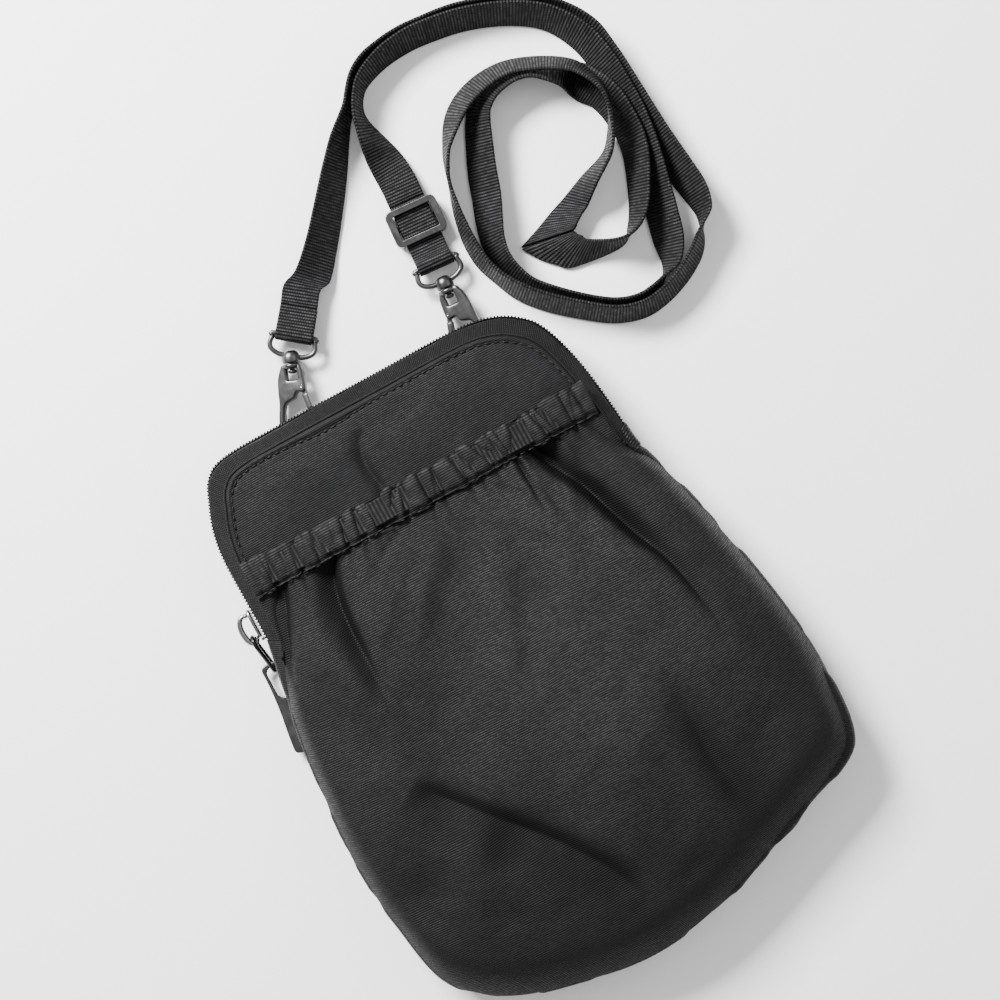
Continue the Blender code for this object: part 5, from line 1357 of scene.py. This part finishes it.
# webbing tabs and ends, in millimetres
webbingEnd = {
    "tabRootY": 84.82, "floor": 0.05, "gap": 0.3, "eyeTurn": 1.75, "step": 0.5, "loopFar": 22.95,
    "loopNear": 16.65, "flatFrom": 6.19, "lowPly": -4.0,
}
ringSize = {"wire": 1.0, "innerHalf": 6.9, "length": 10.0, "height": 4.6, "roll": 19.0, "bowShare": 0.75}
hooks = {
    "left": {"ring": (-30.25, 93.3), "turn": -22.0, "eyeTurn": -16.0, "hand": -1},
    "right": {"ring": (34.75, 88.96), "turn": -3.9, "eyeTurn": 0.0, "hand": 1},
}


def bentWebbing(name, path, matrix, rolls=None):
    # webbing bent along rows of (along, height), flat or rolled across
    half = strapSize["width"] / 2
    ribs = []
    for (along, height), roll in zip(path, rolls or [0.0] * len(path)):
        ribs.append((0.0, along, height, half * math.cos(roll), 0.0, -half * math.sin(roll)))
    return placed(strapMesh(name, ribs, grosgrain, webbingEnd["step"])[0], matrix)


def roundBar(start, centre, radius, finish, steps=8):
    # a path that comes in from start, turns round a bar and leaves to finish
    over = math.atan2(start[1] - centre[1], start[0] - centre[0])
    first = over - math.acos(radius / math.dist(start, centre))
    under = math.atan2(finish[1] - centre[1], finish[0] - centre[0])
    last = under + math.acos(radius / math.dist(finish, centre))
    while first < last:
        first += 2 * math.pi
    while first - last > 2 * math.pi:
        first -= 2 * math.pi
    turns = [first + (last - first) * k / steps for k in range(steps + 1)]
    return [start] + [(centre[0] + radius * math.cos(t), centre[1] + radius * math.sin(t)) for t in turns] + [finish]


def halfTurn(radius, steps=8):
    turns = [math.pi / 2 + math.pi * k / steps for k in range(steps + 1)]
    return [(radius * math.cos(t), radius * math.sin(t)) for t in turns]


thick = strapSize["thickness"]
ringRoll = math.radians(ringSize["roll"])
for side, facts in hooks.items():
    root, ringY = webbingEnd["tabRootY"], facts["ring"][1]
    radius = ringSize["wire"] + webbingEnd["gap"] + thick / 2
    low = webbingEnd["floor"] + thick / 2
    high = low + thick + webbingEnd["gap"]
    path = roundBar((root, high), (ringY, ringSize["height"]), radius, (root, low))
    rolls = [0.0] + [ringRoll] * (len(path) - 2) + [0.0]
    piece = bentWebbing("ringTab" + side.capitalize(), path, shift(facts["ring"][0], 0.0, 0.0), rolls)
    settle(piece, "pouch", "webbing_tab_" + side)

eyeTurn, stub, stubTop = webbingEnd["eyeTurn"], strapSize["stubLength"], strapSize["stubHeight"]
stubLow = stubTop - thick - webbingEnd["gap"]
stubPath = [(stub, stubTop), (0.6 * stub, 0.45 * eyeTurn), (0.25 * stub, 0.86 * eyeTurn)] + halfTurn(eyeTurn)
stubPath += [(0.3 * stub, -0.95 * eyeTurn), (0.65 * stub, stubLow - webbingEnd["gap"]), (0.98 * stub, stubLow)]
strapEnd = bentWebbing("strapEndLeft", stubPath, barMatrix(barLeft, mm))
settle(strapEnd, "eye_left", "strap_end_left")
loopTop, loopLow, flatFrom = strapSize["loopHeight"], webbingEnd["lowPly"], webbingEnd["flatFrom"]
loopPath = [(webbingEnd["loopFar"], loopTop), (flatFrom, loopTop), (0.22 * flatFrom, 0.96 * eyeTurn)]
loopPath += halfTurn(eyeTurn)
loopPath += [(0.5 * flatFrom, (loopLow - eyeTurn) / 2), (flatFrom, loopLow), (webbingEnd["loopNear"], loopLow)]
strapLoop = bentWebbing("strapLoopRight", loopPath, barMatrix(barRight, mm))
settle(strapLoop, "eye_right", "strap_loop_right")
print("stage: webbing ends made")

# rings and snap hooks, in millimetres; the hook's own y runs from its seat on the ring to its swivel
hookSize = {
    "seatToBoss": 24.7, "halfWidth": 6.6, "thickness": 2.8, "edge": 0.85, "collarRadius": 3.0,
    "collarLength": 1.6, "gap": 0.3, "windowHalf": 1.9, "windowLength": 3.8, "windowCorner": 0.6,
    "spineFrom": (4.1, 8.6, 0.0), "spineTo": (4.0, 17.2, 0.0), "spineRadius": 1.55, "domeRadius": 3.1,
    "domeLength": 4.3, "eyeWire": 0.9, "eyeHalf": 8.6, "eyeLength": 6.9, "eyeLift": 0.3,
    "pivotShares": (-0.485, 0.579), "tipShares": (-0.803, 0.267), "gateWidth": 2.0, "gateThickness": 2.6,
    "tongueThickness": 1.2, "leafFrom": 0.30, "tongueTo": 0.55, "pinRadius": 0.55, "pinHalf": 1.42,
}
hookShares = [
    (-0.45, 0.901), (0.45, 0.901), (0.66, 0.83), (0.80, 0.738), (0.86, 0.65), (0.89, 0.50), (0.894, 0.364),
    (1.0, 0.162), (1.0, -0.061), (0.848, -0.186), (0.485, -0.263), (0.0, -0.287), (-0.485, -0.263),
    (-0.864, -0.186), (-1.015, -0.061), (-1.015, 0.101), (-0.939, 0.243), (-0.667, 0.243), (-0.682, 0.101),
    (-0.682, -0.049), (-0.545, -0.130), (-0.273, -0.178), (0.0, -0.190), (0.273, -0.178), (0.545, -0.130),
    (0.667, -0.049), (0.667, 0.142), (0.60, 0.30), (0.45, 0.37), (0.20, 0.40), (-0.02, 0.43), (-0.18, 0.505),
    (-0.636, 0.518), (-0.591, 0.80),
]
eyeShares = [
    (0.0, -0.02), (0.45, 0.0), (0.72, 0.09), (0.92, 0.24), (1.0, 0.42), (0.99, 0.62), (0.94, 0.82),
    (0.88, 1.0),
]


def ringMesh(name):
    # a bow on a straight bar
    bow, share = ringSize["innerHalf"] + ringSize["wire"], ringSize["bowShare"]
    straight = ringSize["length"] - bow * share
    path = [(-bow, 0.0, 0.0), (-bow, straight * 0.5, 0.0)]
    for k in range(33):
        angle = math.pi * (1 - k / 32)
        path.append((bow * math.cos(angle), straight + share * bow * math.sin(angle), 0.0))
    path += [(bow, straight * 0.5, 0.0), (bow, 0.0, 0.0)]
    path += [(bow - 2 * bow * t, 0.0, 0.0) for t in (0.04, 0.1, 0.5, 0.9, 0.96)]
    return sweep(name, path, ringSize["wire"], gunmetal, 16, closed=True)


def bladeMesh(name, hand, windowY):
    # the hook's flat outline, with the window under its collar
    rough = [(hand * x * hookSize["halfWidth"], y * hookSize["seatToBoss"]) for x, y in hookShares]
    outer = smoothLine([rough[-1]] + rough + rough[:2], 4)[4:-8][::hand]
    corner = hookSize["windowCorner"]
    wide, tall = hookSize["windowHalf"] - corner, hookSize["windowLength"] / 2 - corner
    window = []
    for sx, sy, first in ((1, 1, 0), (-1, 1, 1), (-1, -1, 2), (1, -1, 3)):
        for k in range(5):
            angle = math.pi / 2 * (first + k / 4)
            window.append((sx * wide + corner * math.cos(angle), windowY + sy * tall + corner * math.sin(angle)))
    return plateWithEdge(name, [outer, window], hookSize["thickness"], hookSize["edge"], gunmetal, resolution=4)


def spineMesh(name, hand):
    # a soft rib along the hook's back, thinner at its ends
    start, end = [np.array((hand * x, y, z)) for x, y, z in (hookSize["spineFrom"], hookSize["spineTo"])]
    path = [start + (end - start) * t for t in np.linspace(0.0, 1.0, 9)]
    return sweep(name, path, hookSize["spineRadius"] * (1 - 0.35 * np.abs(np.linspace(-1.0, 1.0, 9)) ** 4),
                 gunmetal, squash=0.9)


def gateMesh(label, reach):
    # a leaf on a thin tongue, both cut from one outline
    half = hookSize["gateWidth"] / 2
    rightHalf = [(0.85 * half, 0.9), (half, 0.0), (half, -0.33 * reach), (half, 0.5 - reach), (0.6 * half, -reach)]
    outer = [(-rightHalf[0][0], rightHalf[0][1])] + rightHalf + [(-x, y) for x, y in rightHalf[:0:-1]]
    outer = smoothLine(outer + [outer[0]], 4)[:-1]
    leaf = [p for p in outer if p[1] < -hookSize["leafFrom"] * reach]
    tongue = [(x * 0.85, y) for x, y in outer if y > -hookSize["tongueTo"] * reach]
    return joined("hookGate" + label, [
        plateWithEdge("leaf" + label, [leaf], hookSize["gateThickness"], 0.5, gunmetal),
        plateWithEdge("tongue" + label, [tongue], hookSize["tongueThickness"], 0.15, gunmetal),
    ])


def eyeMesh(label, tilt):
    # rivet, stem and dome in one, with the D-shaped wire
    r, halfEye = hookSize["domeRadius"], hookSize["eyeHalf"] - hookSize["eyeWire"]
    profile = [
        (0.0, -5.65), (0.9, -5.65), (1.35, -5.4), (1.4, -4.7), (1.0, -4.45), (0.85, -4.3), (0.85, -2.1),
        (r - 0.5, -2.12), (r - 0.08, -1.8), (r, -0.9), (r - 0.1, 0.2), (r - 0.6, 1.3), (r - 1.5, 2.0),
        (0.9, 2.15), (0.0, 2.2),
    ]
    dome = lathe("dome" + label, profile, gunmetal, 32)
    line = [(x * halfEye, y * hookSize["eyeLength"], 0.0) for x, y in eyeShares]
    line += [(-x, y, z) for x, y, z in reversed(line[1:])]
    line = smoothLine([line[-1]] + line + line[:2], 5)[5:-10]
    eyeRing = sweep("eyeRing" + label, line, hookSize["eyeWire"], gunmetal, 16, closed=True)
    placed(eyeRing, shift(0.0, hookSize["eyeLift"], 0.0) @ turned(tilt, "Z"))
    return joined("swivelEye" + label, [dome, eyeRing])


boss, collarLength = hookSize["seatToBoss"], hookSize["collarLength"]
collarY = boss - hookSize["domeLength"] / 2 - hookSize["gap"] - collarLength / 2
windowY = collarY - collarLength / 2 - hookSize["windowLength"] / 2
r = hookSize["collarRadius"]
collarProfile = [
    (1.05, 0.8), (r - 0.5, 0.8), (r - 0.1, 0.55), (r, 0.1), (r - 0.25, -0.55), (r - 0.8, -0.8), (1.05, -0.8),
]
pinRadius, pinHalf = hookSize["pinRadius"], hookSize["pinHalf"]
pinProfile = [
    (0.0, -pinHalf), (0.3, -pinHalf), (pinRadius, 0.12 - pinHalf), (pinRadius, pinHalf - 0.12), (0.3, pinHalf),
    (0.0, pinHalf),
]
for side, facts in hooks.items():
    label, hand = side.capitalize(), facts["hand"]
    ringX, ringY = facts["ring"]
    ring = placed(ringMesh("dRing" + label), shift(ringX, ringY, ringSize["height"]) @ turned(ringSize["roll"], "Y"))
    settle(ring, "ring_" + side, "d_ring_" + side)
    # hook blade, collar and spine
    seat = shift(ringX, ringY + ringSize["length"], ringSize["height"]) @ turned(facts["turn"], "Z")
    rolled = seat @ turned(-ringSize["roll"], "Y")
    blade = bladeMesh("blade" + label, hand, windowY)
    collar = placed(lathe("collar" + label, collarProfile, gunmetal, 32), shift(0.0, collarY, 0.0))
    hook = joined("snapHook" + label, [blade, collar, spineMesh("spine" + label, hand)])
    settle(placed(hook, rolled), "hook_" + side, "hook_body_" + side)
    # gate leaf and pin
    pivot, tip = [np.array((hand * x * hookSize["halfWidth"], y * boss))
                  for x, y in (hookSize["pivotShares"], hookSize["tipShares"])]
    lean = math.degrees(math.atan2(tip[1] - pivot[1], tip[0] - pivot[0])) + 90.0
    pivotPlace = rolled @ shift(pivot[0], pivot[1], 0.0)
    gate = placed(gateMesh(label, float(np.linalg.norm(tip - pivot))), pivotPlace @ turned(lean, "Z"))
    settle(gate, "gate_" + side, "hook_gate_" + side)
    pin = placed(lathe("gatePin" + label, pinProfile, brightNickel, 16), pivotPlace @ turned(90.0, "X"))
    settle(pin, "hook_" + side, "gate_pin_" + side)
    eye = placed(eyeMesh(label, facts["eyeTurn"]), seat @ shift(0.0, boss, 0.0))
    settle(eye, "eye_" + side, "swivel_eye_" + side)
print("stage: rings and hooks made")


def dressed(node, material, bevel):
    # a CAD node kept as it is, with soft edges and its own finish
    item = nodes[node]
    weld = item.modifiers.new("joinedEdges", "WELD")
    weld.merge_threshold = 0.01 * mm
    flat = item.modifiers.new("flatFaces", "DECIMATE")
    flat.decimate_type = "DISSOLVE"
    flat.angle_limit = math.radians(1.0)
    soft = item.modifiers.new("softEdges", "BEVEL")
    soft.width = bevel * mm
    soft.segments = 3
    soft.limit_method = "ANGLE"
    soft.angle_limit = math.radians(32)
    soft.harden_normals = False
    item.data.materials.clear()
    item.data.materials.append(material)


dressed("tri_glide", gunmetal, 0.35)
dressed("zip_stop", brightNickel, 0.15)

# the patch over the zip's right end follows the gusset
patch = {
    "length": 9.0, "height": 12.0, "stand": 0.75, "thickness": 0.7, "sink": 0.35, "rim": 0.06, "across": 25,
    "up": 21,
}
acrossShares = np.linspace(-0.5, 0.5, patch["across"])
patchRuns = zipRun - patch["length"] / 4 + acrossShares * patch["length"]
patchRows, patchValues = [], []
for level in np.linspace(-0.5, 0.5, patch["up"]):
    z = zipZ + level * patch["height"]
    side, top = insetAt(z)
    toEdge = np.minimum(0.5 - abs(level), 0.5 - np.abs(acrossShares))
    sink = patch["sink"] * (1 - within(toEdge / patch["rim"]))
    x, y = edgeAt(patchRuns, side - patch["stand"] + sink, top - patch["stand"] + sink)
    heights = np.full(len(patchRuns), z)
    patchRows.append(np.stack([x, y, heights], axis=1))
    patchValues.append(np.stack([heights, patchRuns, np.zeros(len(patchRuns))], axis=1))
endPatch = addMesh("zipEndPatch", np.concatenate(patchRows) * mm, gridFaces(patch["up"], patch["across"]), grosgrain)
clothCoordinates(endPatch, np.concatenate(patchValues))
faceAway(endPatch, outwards)
thicken(endPatch, patch["thickness"])
settle(endPatch, "pouch", "zip_end_tab")

# floor and light
studio = {
    "floor": 1.2, "floorDrop": 0.0001, "paper": (0.945, 0.96), "paperRough": 0.9, "sky": 0.75,
    "keyPlace": (-0.25, 0.85, 0.66), "keyPower": 54.0, "keySize": (0.45, 0.3),
    "fillPlace": (0.7, 0.1, 0.7), "fillPower": 2.0, "fillSize": (0.6, 0.6),
}
paper, paperTree, paperShader = blank("palePaper")
paperSource = paperTree.nodes.new("ShaderNodeTexCoord")
paperGrain = noise(paperTree, paperSource.outputs["Object"], 40.0, 3.0)
greys = [(grey, grey, grey) for grey in studio["paper"]]
paperTree.links.new(colours(paperTree, paperGrain, *greys), paperShader.inputs["Base Color"])
paperShader.inputs["Roughness"].default_value = studio["paperRough"]
corners = [(x * studio["floor"], y * studio["floor"], -studio["floorDrop"])
           for x, y in ((-1, -1), (1, -1), (1, 1), (-1, 1))]
floorMesh = bpy.data.meshes.new("studioFloor")
floorMesh.from_pydata(corners, [], [(0, 1, 2, 3)])
floorMesh.materials.append(paper)
floor = bpy.data.objects.new("studioFloor", floorMesh)
bpy.context.scene.collection.objects.link(floor)
floor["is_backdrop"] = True

world = bpy.data.worlds.new("studioWorld")
world.use_nodes = True
world.node_tree.nodes["Background"].inputs["Color"].default_value = (1.0, 1.0, 1.0, 1.0)
world.node_tree.nodes["Background"].inputs["Strength"].default_value = studio["sky"]
bpy.context.scene.world = world


def softBox(name, place, power, size):
    # a lamp with a soft face that looks at the frame's origin
    data = bpy.data.lights.new(name, "AREA")
    data.shape = "RECTANGLE"
    data.size, data.size_y = size
    data.energy = power
    item = bpy.data.objects.new(name, data)
    bpy.context.scene.collection.objects.link(item)
    item.location = place
    item.rotation_euler = (-Vector(place)).to_track_quat("-Z", "Y").to_euler()


softBox("keyBox", studio["keyPlace"], studio["keyPower"], studio["keySize"])
softBox("fillBox", studio["fillPlace"], studio["fillPower"], studio["fillSize"])
print("stage: studio made")

low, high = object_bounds()
